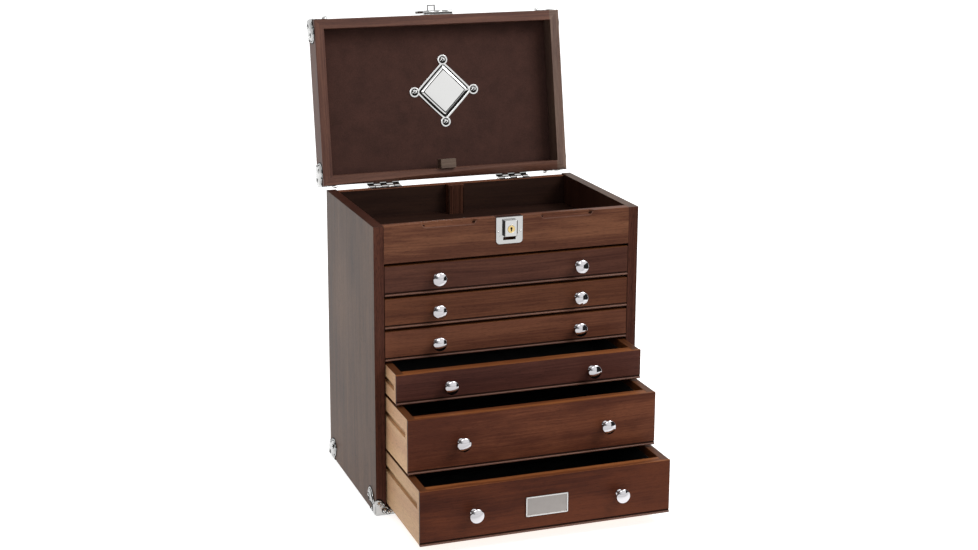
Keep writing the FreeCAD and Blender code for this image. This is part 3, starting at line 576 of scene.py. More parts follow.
def drawer_woods(p):
    """Walnut of the drawer fronts, each in its tint, maple of their boxes and runners, and plywood.

    The two deep fronts show wide slanted arcs. The top edges of the lower three fronts are lighter than those
    of the upper three and of the boxes."""
    maple, edge, darker_edge = spread(p.maple, 1.0, 0.82, 1.16), spread(p.edge_stain), spread(p.edge_stain, 0.5)
    wood("maple_runner", maple, grain="y", seed=0.7, contrast=0.7)
    wood("pale_plywood", maple, seed=7.7, contrast=0.6)
    for number, tint in enumerate(FRONT_TINTS, 1):
        rings, slant = (0.55, 0.35) if number > 4 else (0.2, 0.12)
        top = box(f"drawer_{number}_box")[1][Z] - 0.35 * MM
        wood(
            f"walnut_front_{number}", spread(tinted(p.walnut, tint)), seed=1.7 * number, contrast=1.2,
            rings=rings, slant=slant, zones=((Z, ABOVE, top, edge if number > 3 else darker_edge),),
        )
        wood(
            f"maple_box_{number}", maple if number == 6 else spread(p.maple, 1.15, 0.82, 1.16), grain="y",
            seed=0.9 * number, specular=0.2, contrast=0.7,
            zones=((FROM_MIDDLE, BELOW, 138.4 * MM, edge), (Z, ABOVE, top, darker_edge)),
        )


def lid_and_rod_woods(p):
    """Walnut of the lid, whose rails differ in tone, of its striker block and of the lock rod."""
    low = (Z, BELOW, 354.1 * MM, spread(p.low_rail))
    right = (X, ABOVE, HALF_W - 12.5 * MM, spread(p.right_rail))
    lid = spread(p.lid_wood)
    wood("walnut_lid_rails", lid, grain="mitred", seed=3.4, specular=0.25, contrast=1.3, zones=(low, right))
    wood("walnut_lid_panel", lid, seed=5.1, specular=0.3)
    wood("walnut_striker", spread(p.striker), seed=8.2, specular=0.3)
    wood("walnut_rod", spread(p.walnut, 0.9), grain="z", seed=6.7)
    wood("walnut_rod_face", spread(p.walnut, 0.62), grain="z", seed=6.9)


def felts(p):
    """Brown felt of the lid and black felt of the drawers."""
    felt("felt_lid", p.lid_felt, 0.55, 0.2)
    felt("felt_drawer", p.drawer_felt, 0.4, 0.05)


def metals(p):
    """Nickel in its finishes, with darker copies as painted shade on the corners and the hasp, brushed
    nameplate, steel, brass and the painted shade of the gaps.
    """
    # The lock case's sides, beyond 7.1 mm from its middle, take the near black as painted shade
    painted_shade_sides = ((FROM_MIDDLE, ABOVE, 7.1 * MM, tuple(p.dark_gap)),)
    metal("nickel_plate", tinted(p.nickel, 0.78), 0.14)
    # Darker copies of the nickel, 0.60 and 0.42 of it: painted shade on the corners and the hasp
    metal("nickel_corners", tinted(p.nickel, 0.60), 0.10, dents=9.0)
    metal("nickel_lock_case", tinted(p.nickel, 0.85), 0.12, zones=painted_shade_sides)
    metal("nickel_hasp", tinted(p.nickel, 0.42), 0.14, dents=6.0)
    metal("nickel_rim", tinted(p.nickel, 0.9), 0.2)
    metal("nickel_bright", p.nickel, 0.05, scratch=0.02)
    metal("nickel_knob", tinted(p.nickel, (0.84, 0.82, 0.86)), 0.05, scratch=0.02)
    metal("brushed_nameplate", p.plate, 0.42, scratch=0.3)
    metal("plain_steel", p.steel, 0.34, scratch=0.2)
    metal("brass_plug", p.brass, 0.18)
    # Near black material of painted shade, for the dark gaps and lines
    metal("dark_gap", p.dark_gap, 0.6)


class CHEST_OT_boards(bpy.types.Operator):
    """Give every wooden board of case, drawers, lid and rod its grain and softened edges"""

    bl_idname = "chest.boards"
    bl_label = "Boards"

    def execute(self, context):
        edge = context.scene.chest_sizes.arris
        for name, finish in {
            "side_left": "side_left", "side_right": "side_right", "back_panel": "back", "base_board": "case",
            "front_panel": "till", "lid_rails": "lid_rails", "lid_panel": "lid_panel",
            "striker_block": "striker", "lock_rod": "rod", "rod_guides": "rod",
        }.items():
            dress(name, f"walnut_{finish}", edge)
        dress("till_floor", "walnut_inside")
        dress("drawer_runners", "maple_runner", edge)
        for number, body in enumerate(DRAWERS, 1):
            dress(f"{body}_front", f"walnut_front_{number}", edge)
            dress(f"{body}_box", f"maple_box_{number}", edge)
            dress(f"{body}_bottom", "pale_plywood")
        return {"FINISHED"}


class CHEST_OT_beads(bpy.types.Operator):
    """Round the bead along the foot of each drawer front, lighter as rubbed wear and painted highlight, with
    a dark strip of painted shade for the groove above it
    """

    bl_idname = "chest.beads"
    bl_label = "Beads"

    def execute(self, context):
        radius = context.scene.chest_sizes.bead_radius
        for body in DRAWERS:
            low, high = box(f"{body}_front")
            grid = bead_strip(high[0], (0, low[1] + 0.1 * MM, low[2] + radius + 0.15 * MM), radius)
            piece(f"{body}_bead", [grid], "walnut_worn", body)
            # A dark strip of painted shade for the groove above the bead
            grid = bead_strip(high[0] - 0.1 * MM, (0, low[1] + 0.85 * MM, low[2] + 3.3 * MM), 0.8 * MM)
            piece(f"{body}_groove", [grid], "walnut_groove", body)
        return {"FINISHED"}


def bead_strip(half, centre, radius):
    """A round bar along X whose radius falls to nothing in a small dome at both ends."""
    left = np.array([-half, -half + 0.01 * MM, -half + 0.4 * MM])
    x = np.concatenate([left, -left[::-1]])
    return turned(np.column_stack([radius * np.array([0, 0.8, 1, 1, 0.8, 0]), x]), "right", centre, 20)


class CHEST_OT_scoops(bpy.types.Operator):
    """Trace the lip of each finger scoop in the till's panel, lighter as rubbed wear and painted highlight,
    and the dark corners of its ends as painted shade
    """

    bl_idname = "chest.scoops"
    bl_label = "Finger scoops"

    def execute(self, context):
        lips, ends = [], []
        edge = np.array([0, -HALF_D, CASE_H])
        for start, end in ((-105.0, -38.0), (37.0, 104.0)):
            points = [(start + x, 0.15, z) for x, z in ((0.5, -0.7), (4.0, -5.4), (6.0, -5.5))]
            points += [(end - x, 0.15, z) for x, z in ((6.0, -5.5), (4.0, -5.4), (0.5, -0.7))]
            lips.append(front_line(edge + np.array(points) * MM, 40, 0.5 * MM, 0.3 * MM))
            # Dark strands of painted shade at both ends of each scoop
            for x, away in ((start, 1), (end, -1)):
                points = np.array([(x + away * 2.2, 1.2, -2.2), (x + away * 5.6, 3.2, -3.9)])
                ends.append(front_line(edge + points * MM, 6, 0.7 * MM, 0.5 * MM))
        piece("scoop_lips", lips, "walnut_worn", "case")
        piece("scoop_end_shade", ends, "walnut_groove", "case")
        return {"FINISHED"}


class CHEST_OT_rod_face(bpy.types.Operator):
    """Mould the front of the lock rod: two ridges, a low swell between them and dark lines of painted shade
    """

    bl_idname = "chest.rod_face"
    bl_label = "Rod face"

    def execute(self, context):
        low, high = box("lock_rod")
        middle, half = (low[0] + high[0]) / 2, (high[0] - low[0]) / 2
        foot, head = 298.5 * MM, high[2] - 0.5 * MM
        # Over the width from -1 to 1, the ridges are bell curves at both 0.6 and the swell is one at 0
        x = np.linspace(-1, 1, 33)
        ridge = 0.8 * np.exp(-(((np.abs(x) - 0.6) / 0.11) ** 2)) + 0.3 * np.exp(-((x / 0.3) ** 2))
        front = np.column_stack([middle + half * x, low[1] - (0.25 + ridge) * MM])
        back = [(middle + half, low[1] + 0.3 * MM), (middle - half, low[1] + 0.3 * MM)]
        ring = np.concatenate([front, back])
        core = 0 * ring + (middle, low[1])
        rows = [np.column_stack([line, np.full(len(ring), z)])
                for line, z in ((core, foot), (ring, foot), (ring, head), (core, head))]
        piece("rod_moulding", [np.array(rows)], "walnut_rod_face", "lock_rod", sharp=40)
        # Dark lines of painted shade along the flutes
        lines = []
        for side in (-0.92, -0.33, 0.33, 0.92):
            path = [(middle + side * half, low[1] - 0.25 * MM, z) for z in (foot + 0.5 * MM, head - 0.5 * MM)]
            lines.append(front_line(path, 10, 0.09 * half, 0.12 * MM))
        piece("rod_flute_shade", lines, "walnut_groove", "lock_rod")
        return {"FINISHED"}


class CHEST_OT_hardware(bpy.types.Operator):
    """Give lock, hasp, hinges, nameplate and rod fittings their metal, soft edges and dark lines of painted
    shade in their gaps
    """

    bl_idname = "chest.hardware"
    bl_label = "Hardware"

    def execute(self, context):
        edge = context.scene.chest_sizes.metal_arris
        for finish, rounding, names in (
            ("nickel_plate", None, ("hinge_case_leaves", "hinge_lid_leaves")),
            ("nickel_plate", edge, ("lock_plate",)),
            ("nickel_hasp", edge, ("hasp_base", "hasp_flap")),
            ("nickel_lock_case", edge, ("lock_case",)),
            ("brushed_nameplate", edge, ("nameplate",)),
            ("plain_steel", None, ("rod_hooks", "hinge_pins", "hasp_pin", "lock_bolt")),
            ("brass_plug", None, ("key_plug",)),
        ):
            for name in names:
                dress(name, finish, rounding)
        piece("nameplate_rim", [nameplate_rim()], "nickel_rim", "drawer_6")
        painted_shade_piece("keyhole_shade", keyhole_shade(), "key_plug")
        painted_shade_piece("lock_shade_lines", lock_shade_lines(), "case")
        return {"FINISHED"}


def nameplate_rim():
    """A strand round the nameplate, a little inside its outline."""
    low, high = box("nameplate")
    inset = 0.7 * MM
    x0, x1, z0, z1 = low[0] + inset, high[0] - inset, low[2] + inset, high[2] - inset
    loop = [(x, low[1], z) for x, z in ((x0, z0), (x1, z0), (x1, z1), (x0, z1), (x0, z0))]
    return front_line(loop, 121, 0.6 * MM, 0.35 * MM)


def keyhole_shade():
    """A dark round hole with a slit below it on the key plug's face, painted shade."""
    axis_height = 327 * MM
    front = np.array([0, box("key_plug")[0][1] + 0.3 * MM, axis_height])
    disc = np.array([(0.0, 0.0), (1.25, 0.0), (1.25, 0.34), (0.0, 0.34)]) * MM
    slit = front + np.array([(0, 0, 0.0), (0, 0, -2.4)]) * MM
    return [turned(disc, "front", front + (0, 0, 0.6 * MM), 20), front_line(slit, 8, 0.75 * MM, 0.34 * MM)]


def lock_shade_lines():
    """Dark lines of painted shade beside and above the lock's raised case."""
    lines = [((-8.0, 318.5), (-8.0, 336.6), 0.6, 0.35), ((8.9, 318.5), (8.9, 336.6), 1.0, 0.35),
             ((-8.0, 337.7), (8.0, 337.7), 0.3, 0.3)]
    face = -HALF_D - 1.05 * MM
    return [front_line([(x * MM, face, z * MM) for x, z in ends], 12, wide * MM, tall * MM)
            for *ends, wide, tall in lines]


class CHEST_OT_knobs(bpy.types.Operator):
    """Make the turned knobs, two on each drawer, in place of the plain ones"""

    bl_idname = "chest.knobs"
    bl_label = "Knobs"

    def execute(self, context):
        for body in DRAWERS:
            low, high = box(f"{body}_knobs")
            radius, out = (high[2] - low[2]) / 2, high[1] - low[1]
            profile = smooth_line(KNOB, 4).clip(0) * (radius, out)
            grids = [turned(profile, "front", (x, high[1], (low[2] + high[2]) / 2), 48)
                     for x in (low[0] + radius, high[0] - radius)]
            made = piece(f"{body}_knob_pair", grids, "nickel_knob", body)
            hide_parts(f"{body}_knobs")
        return {"FINISHED"}


# Outline of a knob as shares of its radius and length: foot, waist, flare, rim and domed face
KNOB = (
    (0, 0), (0.5, 0), (0.51, 0.05), (0.43, 0.11), (0.36, 0.24), (0.38, 0.42), (0.55, 0.55), (0.86, 0.68),
    (0.985, 0.76), (1, 0.81), (0.975, 0.845), (0.9, 0.875), (0.76, 0.907), (0.58, 0.943), (0.36, 0.975),
    (0.16, 0.994), (0, 1),
)


class CHEST_OT_drawer_felt(bpy.types.Operator):
    """Line each drawer with black felt that turns up its four walls"""

    bl_idname = "chest.drawer_felt"
    bl_label = "Drawer felt"

    def execute(self, context):
        bend = context.scene.chest_sizes.felt_bend
        for body in DRAWERS:
            low, high = box(f"{body}_lining")
            made = piece(f"{body}_felt", [felt_tray(low, high, bend)], "felt_drawer", body)
            made.data.flip_normals()
            shell = made.modifiers.new("thickness", "SOLIDIFY")
            shell.thickness = 1.0 * MM
            shell.offset = -1.0
            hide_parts(f"{body}_lining")
        return {"FINISHED"}


def felt_tray(low, high, bend):
    """The inside face of a felt tray.

    Its rows go down the walls, round a bend of the given radius and in to the middle of the floor. The
    columns go round a rectangle with small corners. The rim is lower along the drawer's back wall."""
    thick, back_drop, corner = 1.2 * MM, 11.5 * MM, 2.5 * MM
    half = (high[:2] - low[:2]) / 2 - thick
    floor = low[2] + thick
    quarter = np.linspace(0, math.pi / 2, 5)
    turns = np.concatenate([quarter + k * math.pi / 2 for k in range(4)])
    signs = np.repeat([[1, 1], [-1, 1], [-1, -1], [1, -1]], 5, axis=0)
    round_corner = np.stack([np.cos(turns), np.sin(turns)], -1) * corner
    straight = signs * (half - corner)
    ring = straight + round_corner
    at_back = (signs[:, 1] > 0) & (np.abs(ring[:, 0]) < half[0] - 0.8 * corner)
    rows = [(ring, high[2] - back_drop * at_back), (ring, floor + bend)]
    for a in quarter[1:]:
        shrunk = (1 - bend * (1 - np.cos(a)) / corner).clip(0.05)
        rows.append((straight + round_corner * shrunk, floor + bend * (1 - np.sin(a))))
    foot = rows[-1][0]
    spine = np.column_stack([signs[:, 0] * (half[0] - half[1]), np.zeros(len(ring))])
    rows += [(foot * (1 - share) + spine * share, floor) for share in np.linspace(0, 1, 8)[1:]]
    grid = np.array([np.column_stack([line, np.broadcast_to(z, len(ring))]) for line, z in rows])
    grid[..., :2] += (high[:2] + low[:2]) / 2
    return grid


class CHEST_OT_lid_felt(bpy.types.Operator):
    """Line the lid with brown felt, a touch fuller than flat and rounded off at its edges"""

    bl_idname = "chest.lid_felt"
    bl_label = "Lid felt"

    def execute(self, context):
        thick, reach = 1.0 * MM, 2.5 * MM
        half = np.array([HALF_W, HALF_D]) - 12.0 * MM
        back = LID_TOP - 6.0 * MM
        # The felt rises from its edge as a quarter of an oval, and waves slowly over its width and depth
        u = np.linspace(-1, 1, 61)[:, None] * half[0]
        v = np.linspace(-1, 1, 41)[None, :] * half[1]
        edge = np.minimum(half[0] - np.abs(u), half[1] - np.abs(v))
        rise = thick * np.sqrt(1 - (1 - (edge / reach).clip(0, 1)) ** 2)
        wave = 0.06 * MM * (np.sin(90 * u + 31 * v) + np.sin(57 * v - 23 * u)) * (edge / (10 * MM)).clip(0, 1)
        grid = opened(np.stack([u + 0 * v, v + 0 * u, back - rise - wave], -1))
        made = piece("lid_felt", [grid], "felt_lid", "lid", wrap=False, shell=False)
        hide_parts("lid_lining")
        return {"FINISHED"}


class CHEST_OT_diamond(bpy.types.Operator):
    """Press the diamond plate inside the lid: outer band, groove, sloping frame, flat middle and four ears,
    with dark lines of painted shade
    """

    bl_idname = "chest.diamond"
    bl_label = "Diamond plate"

    def execute(self, context):
        radius, rise, angle = 1.9 * context.scene.chest_sizes.small_screw, 1.3 * MM, 0.2
        ear_out, ear_top = 39.0 * MM, 1.0 * MM
        grids = [turned(DIAMOND * MM, "down", DIAMOND_PLACE, 96, square_divisor(around(96)))]
        # Two dark lines of painted shade in the grooves
        lines, screws = [square_shade_line(32.3, 0.95, 0.8, 1.1, 0.75), square_shade_line(27.1, 1.3, 0.35, 0.4, 0.0)], []
        arc = np.linspace(0.12, 0.88, 14)[:, None] * math.pi
        way = np.concatenate([np.cos(arc), np.sin(arc), -0.30 + 0 * arc], -1)
        for x, y in ((1, 0), (0, 1), (-1, 0), (0, -1)):
            centre = DIAMOND_PLACE + np.array([x, y, 0]) * ear_out
            grids.append(turned(EAR * MM, "down", centre, 36))
            top = centre + ear_top * DOWN
            screws.append(opened(screw_head(top, DOWN, radius, rise, angle, True)))
            lines += screw_shade(top, DOWN, radius, rise, angle)
            # A dark arc of painted shade on one side of each ear's screw
            lines.append(strand(top + 0.72 * radius * way, DOWN, 0.24 * radius, 0.12 * radius))
        grids = [opened(facing(grid, DOWN)) for grid in grids]
        made = piece("diamond_relief", grids, "nickel_bright", "lid", shell=False, sharp=35)
        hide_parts("diamond_plate")
        painted_shade_piece("diamond_shade_lines", [opened(line) for line in lines], "lid")
        piece("diamond_screws", screws, "nickel_plate", "lid", wrap=False, shell=False, sharp=40)
        return {"FINISHED"}


# Profiles in mm as (way out from the middle, height): the diamond's towards its corners, and an ear's
DIAMOND = np.array([
    (37, 0), (36.98, 0.85), (36.93, 0.97), (36.7, 1), (34.4, 1), (33.9, 0.9), (33.6, 0.4), (33.3, 0),
    (32.8, 0), (32.6, 0.5), (32.3, 0.95), (31.8, 1.15), (28.6, 1.95), (28.1, 2), (27.7, 1.8), (27.4, 1.35),
    (27, 1.3), (26.7, 1.6), (26.3, 1.95), (25.5, 2), (13, 2.04), (0, 2.05),
])
EAR = np.array([(6.4, 0), (6.38, 0.9), (6.3, 1.06), (6, 1.12), (4.9, 1.12), (4, 0.95), (3, 1.1), (0, 1.1)])


def square_divisor(a):
    """What a square's half diagonal is divided by at angle a: |cos a| ^ 1.05 + |sin a| ^ 1.05."""
    return (np.abs(np.cos(a)) ** 1.05 + np.abs(np.sin(a)) ** 1.05)[..., None]


def square_shade_line(width, height, wide, more, towards):
    """A dark line of painted shade in a groove of the relief, along the same outline as the relief's.

    Its half width at angle a is wide + more * max(0, cos(a - towards * pi))2, in mm, so that the painted
    shade is wider towards one side."""
    a = np.linspace(0, 2 * math.pi, 97)
    path = DIAMOND_PLACE + np.stack([np.cos(a), np.sin(a), 0 * a], -1) * width * MM / square_divisor(a)
    half = wide + more * np.cos(a - towards * math.pi).clip(0) ** 2
    return strand(path + height * MM * DOWN, DOWN, half[:, None, None] * MM, 0.95 * MM)


class CHEST_OT_corners(bpy.types.Operator):
    """Press the metal corners of case and lid, with dark strands of painted shade in the grooves and round
    the leaves
    """

    bl_idname = "chest.corners"
    bl_label = "Metal corners"

    def execute(self, context):
        sizes = context.scene.chest_sizes
        for body, node_name in (("case", "base_corners"), ("lid", "lid_corners")):
            # gaps gathers the dark strands of painted shade
            grids, gaps = [], []
            for sx, sy in CORNERS:
                pressed_corner(grids, gaps, body, sx, sy, sizes.corner_thickness, sizes.corner_bend)
            name = f"{body}_corner_plates"
            made = piece(name, grids, "nickel_corners", body, shell=False, sharp=50)
            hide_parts(node_name)
            painted_shade_piece(f"{body}_corner_shade_lines", gaps, body)
        return {"FINISHED"}


CORNERS = ((-1, -1), (-1, 1), (1, -1), (1, 1))

# Each leaf of a corner: its outline in mm as (u, v, bulge of the run that ends there), and its middle
FLAT_LEAF = ((-2, -2, 0), (25, -2, 0), (19.5, 19.5, -5), (-2, 25, -5)), (9, 9)
REAR_LEAF = (((-2, -2, 0), (17, -2, 0), (21, 5, -1.5), (27, 13, -2), (26, 22, -2.5), (17, 26, -2.5),
              (7.5, 22, -1), (-2, 19, 1.2)), (10, 9))
CORNER_LEAVES = {
    "case": {
        "side": (((-2, -2, 0), (18, -2, 0), (16.5, 5, -1.5), (11, 9.5, 1), (21, 11, 1), (29, 14, -2),
                  (28.5, 23, -2.5), (19, 26, -2.5), (12, 20, -1), (6.5, 15, 1.2), (-2, 18.5, 1.2)),
                 (9.5, 7.5)),
        "front": (((-2, -2, 0), (24, -2, 0), (22, 3.5, -1), (14.5, 7.5, -1.2), (9.5, 10.5, -1.2),
                   (7, 15.5, -1.2), (2.5, 19, -1.2), (-2, 18.5, 0)), (6, 5)),
        "flat": FLAT_LEAF,
    },
    "lid": {
        "side": (((-2, -2, 0), (20, -2, 0), (24, 6, -1.5), (27, 12, -1.5), (26.5, 22, -1.5), (18, 28, -1),
                  (10, 26.5, -0.5), (5, 22, 1.2), (-2, 24, 1.2)), (10, 10)),
        "front": (((-2, -2, 0), (25, -2, 0), (21.5, 8, -1.8), (14, 7, -0.8), (7.5, 12.5, 1.5), (3.5, 17, -1),
                   (-2, 17, 0)), (6.5, 4.5)),
        "flat": FLAT_LEAF,
    },
}
CORNER_SCREWS = {
    "case": (("side", 21.5, 18), ("side", 7, 6.5), ("front", 9, 6), ("front", 13.6, 4)),
    "lid": (("side", 18.5, 18), ("side", 7, 8), ("front", 20, 5), ("flat", 10, 10)),
}
# Widths in mm of the strands of painted shade in the grooves
GROOVE_WIDTHS = {("case", "side"): 0.9, ("case", "front"): 0.5, ("lid", "side"): 1.4, ("lid", "front"): 1.4}


def corner_place(body, kind, sx, sy, u, v, h):
    """Where the point (u, v, height) of a leaf lies, with the leaf's outward direction.

    Side: u along the depth and v up. Front: u along the width and v up. Flat: along width and depth."""
    high, up = (LID_TOP, -1.0) if body == "lid" else (0.0, 1.0)
    if kind == "side":
        return np.stack([sx * (HALF_W + h), sy * (HALF_D - u), high + up * v], -1), (sx, 0, 0)
    if kind == "front":
        return np.stack([sx * (HALF_W - u), sy * (HALF_D + h), high + up * v], -1), (0, sy, 0)
    return np.stack([sx * (HALF_W - u), sy * (HALF_D - v), high - up * h], -1), (0, 0, -up)


def pressed_corner(grids, gaps, body, sx, sy, thick, bend):
    """Adds the three leaves of one corner, with dark strands of painted shade at their rims and in their
    grooves.
    """
    turn = opened if body == "lid" else np.array
    for kind, leaf in CORNER_LEAVES[body].items():
        if body == "case" and kind == "side" and sy > 0:
            leaf = REAR_LEAF
        edges = (-thick, 0.0 if body == "case" and kind != "flat" else -thick)
        surface, rim, groove = pressed_leaf(*leaf, thick, bend, edges)
        depth = 0.1 * MM
        if body == "case" and kind == "flat":
            surface[..., 2] = (surface[..., 2] - thick).clip(max=0) * (surface[..., :2] < bend).any(-1)
            depth = -0.4 * MM
        grid, outward = corner_place(body, kind, sx, sy, *np.moveaxis(surface, -1, 0))
        grids.append(turn(facing(grid, outward)))
        path, _ = corner_place(body, kind, sx, sy, *rim.T, np.full(len(rim), depth))
        gaps.append(turn(strand(path, outward, 1.3 * MM, 0.4 * MM)))
        if kind != "flat":
            path, _ = corner_place(body, kind, sx, sy, *groove.T)
            gaps.append(turn(strand(path[3:-3], outward, GROOVE_WIDTHS[body, kind] * MM, 0.4 * MM)))


def bulged(outline, steps=8):
    """A closed outline through points of (u, v, bulge).

    The run from a to b is a + s (b - a) + 4 s (1 - s) bulge n, where n is its left and bulge is b's."""
    p = np.array(outline, float)
    after = np.roll(p, -1, axis=0)
    run = (after - p)[:, :2]
    left = np.stack([-run[:, 1], run[:, 0]], -1) / np.linalg.norm(run, axis=1, keepdims=True)
    s = np.linspace(0, 1, steps, endpoint=False)[None, :, None]
    line = p[:, None, :2] + s * run[:, None] + 4 * s * (1 - s) * after[:, None, 2:] * left[:, None]
    return line.reshape(-1, 2) * MM


def pressed_leaf(outline, middle, thick, bend, edges):
    """One plate of a pressed corner as (u, v, height), the free part of its outline and the groove inside it.

    Rings shrink from the outline to the middle. With d the way in from the free outline, the height rolls up
    as thick * sqrt(1 - (1 - d / roll)2), dips in a groove and swells inside it, both as bell curves of d.
    Near an edge shared with a neighbour it falls by bend - sqrt(bend2 - (bend - e)2), e from that edge."""
    roll, groove_in, groove_wide, swell_wide = 1.1 * MM, 2.2 * MM, 0.7 * MM, 2.4 * MM
    groove_deep, swell_high, fade = 0.7 * MM, 1.5 * MM, 6 * MM
    low = np.array(edges) + 0.293 * bend
    line = np.maximum(bulged(outline), low)
    free = line[(line > low + 1e-6).all(-1)]
    share = 1 - np.array([0, 0.03, 0.07, 0.11, 0.16, 0.22, 0.29, 0.38, 0.5, 0.65, 0.83, 1])[:, None, None]
    middle = np.array(middle) * MM
    inwards = middle - free
    groove = free + groove_in * inwards / np.linalg.norm(inwards, axis=-1, keepdims=True)

    def raised(at):
        away = np.linalg.norm(at[..., None, :] - free, axis=-1).min(-1)
        inner = ((at - np.array(edges)).min(-1) / fade).clip(0, 1) ** 0.7
        rise = thick * np.sqrt(1 - (1 - (away / roll).clip(0, 1)) ** 2)
        dip = np.exp(-(((away - groove_in) / groove_wide) ** 2)) * (away > 0.6 * MM)
        swell = 1 - np.exp(-(((away - groove_in).clip(0) / swell_wide) ** 2))
        rise = rise + (swell_high * swell - groove_deep * dip) * inner
        way_in = (bend - (at - np.array(edges))).clip(0)
        drop = (bend - np.sqrt((bend**2 - way_in**2).clip(0))).sum(-1)
        return np.concatenate([at, (rise - drop)[..., None]], -1)

    return raised(middle * (1 - share) + line * share), free, raised(groove)


class CHEST_OT_hinges(bpy.types.Operator):
    """Close the hinges towards the lid with a dark strip, and darken the joints between their knuckles, both
    as painted shade
    """

    bl_idname = "chest.hinges"
    bl_label = "Hinges"

    def execute(self, context):
        knuckle = 8.2 * MM
        seams = [seam_ring(x + step * knuckle) for x in HINGE_PLACES for step in (-1.5, -0.5, 0.5, 1.5)]
        painted_shade_piece("hinge_seam_shade", seams, "case")
        painted_shade_piece("hinge_leaf_shade", [opened(hinge_strip(x)) for x in HINGE_PLACES], "lid")
        return {"FINISHED"}


def seam_ring(x):
    """A dark ring of painted shade let into the barrel, and a hair proud of it."""
    barrel, inner, outer, half = 3.6, 3.0, 3.68, 0.45
    profile = np.array([(inner, -half), (outer, -half), (outer, half), (inner, half), (inner, -half)]) * MM
    return turned(profile, "right", (x, PIVOT[1], PIVOT[2]), 32)


def hinge_strip(x):
    """The strip from the lid's leaf down to the barrels, dark as painted shade: an oval carried along X and
    closed at its ends.
    """
    a, b = np.array([(102.0, 342.6), (105.0, 339.6)]) * MM
    along = (b - a) / np.linalg.norm(b - a)
    across = np.array([-along[1], along[0]])
    t = around(16)[:, None]
    oval = 2.2 * MM * np.cos(t) * along + 0.5 * MM * np.sin(t) * across
    size = np.array([0.0, 1.0, 1.0, 0.0])[:, None, None]
    ends = x + 20.3 * MM * np.array([-1, -1, 1, 1])[:, None, None] + 0 * t
    return np.concatenate([ends, (a + b) / 2 + size * oval], -1)


class CHEST_OT_screws(bpy.types.Operator):
    """Put the domed and slotted screws in corners, hinges, hasp and lock, with painted shade across the dome
    and round the head of each small corner screw
    """

    bl_idname = "chest.screws"
    bl_label = "Screws"

    def execute(self, context):
        sizes = context.scene.chest_sizes
        small, small_rise, corner_out, plate_out = sizes.small_screw, 0.8 * MM, 2.9 * MM, HALF_D + 1.2 * MM
        heads, dark = {"case": [], "lid": []}, {"case": [], "lid": []}
        for sx, sy in CORNERS:
            angle = 0.7 + 1.1 * sx + 0.6 * sy
            for body, screws in CORNER_SCREWS.items():
                for kind, u, v in screws:
                    large = (body, kind) == ("lid", "front")
                    radius = sizes.screw_radius * (1.6 if large else 1)
                    rise = sizes.screw_rise * (1.8 if large else 1)
                    place = corner_place(body, kind, sx, sy, u * MM, v * MM, corner_out)
                    heads[body].append(screw_head(*place, radius, rise, angle))
                    # Painted shade across the dome and round the head
                    if not large:
                        dark[body] += screw_shade(*place, radius, rise, angle)
        for x in HINGE_PLACES:
            for along, far in ((-14, 0), (0, 5), (14, 0)):
                angle = 0.4 + 0.1 * along
                for body, z, more in (("case", 320 - far, 0), ("lid", 352 + far, 1)):
                    place = (x + along * MM, plate_out, z * MM)
                    heads[body].append(screw_head(place, BACK, small, small_rise, angle + more))
        for x, z in ((-13.5, 356.5), (13.5, 356.5), (-13.5, 348.5), (13.5, 348.5)):
            heads["lid"].append(screw_head((x * MM, -plate_out, z * MM), FRONT, small, small_rise, 0.3 * x))
        for x in (-13.4, 13.4):
            heads["case"].append(screw_head((x * MM, -plate_out, 323 * MM), FRONT, 1.1 * MM, 0.6 * MM, 0.5))
        stood = {"case": np.array, "lid": opened}
        for body, lines in dark.items():
            painted_shade_piece(f"{body}_slot_shade", [stood[body](line) for line in lines], body)
        for body, domes in heads.items():
            grids = [stood[body](dome) for dome in domes]
            piece(f"{body}_screws", grids, "nickel_plate", body, wrap=False, shell=False, sharp=40)
        return {"FINISHED"}


class CHEST_OT_spring(bpy.types.Operator):
    """Wind the coil spring under the rod, as a fixed coil: it keeps its length, though the spring shortens as
    the lid shuts
    """

    bl_idname = "chest.spring"
    bl_label = "Rod spring"

    def execute(self, context):
        low, high = box("rod_spring")
        wire, turns = 0.5 * MM, 6.5
        s = np.linspace(0, 1, 260)
        radius = (high[0] - low[0]) / 2 - wire
        t = 2 * math.pi * turns * s
        z = low[2] + wire + (high[2] - low[2] - 2 * wire) * s
        middle = (low + high) / 2
        path = np.stack([middle[0] + radius * np.cos(t), middle[1] + radius * np.sin(t), z], -1)
        made = piece("spring_coil", [strand(path, (0, 0, 1), wire, wire)], "plain_steel", "case")
        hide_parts("rod_spring")
        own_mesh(made)
        return {"FINISHED"}


class CHEST_OT_stage(bpy.types.Operator):
    """Set the floor, the dark card, the lights, the white surround and the camera"""

    bl_idname = "chest.stage"
    bl_label = "Stage"

    def execute(self, context):
        scene, studio = context.scene, context.scene.chest_studio
        floor_paper(studio.floor_glow)
        black_card()
        reach = 6.0
        corners = [(x * reach, y * reach, 0) for x, y in ((-1, -1), (1, -1), (1, 1), (-1, 1))]
        floor = card("floor", corners, "pale_floor")
        floor.location.z = -0.4 * MM
        corners = [(0.305, -0.53, 0.07), (0.70, -0.18, 0.0), (0.70, -0.18, 0.42), (0.305, -0.53, 0.31)]
        flag = card("flag", corners, "black_card")
        flag.visible_camera = False
        soft_light("key", (1.5, -1.5, 2.1), (0, 0, 0.3), 1.1, studio.key_power)
        soft_light("fill", (-0.2, -2.6, 1.5), (0, 0, 0.2), 1.0, studio.fill_power)
        surround(scene, studio.sky)
        scene.view_settings.view_transform = "Standard"
        scene.camera = photo_camera(studio.lens)
        return {"FINISHED"}


def card(name, corners, finish):
    """A flat piece of the studio with four corners."""
    mesh = bpy.data.meshes.new(name)
    mesh.from_pydata(corners, [], [(0, 1, 2, 3)])
    mesh.materials.append(bpy.data.materials[finish])
    return linked(name, mesh)


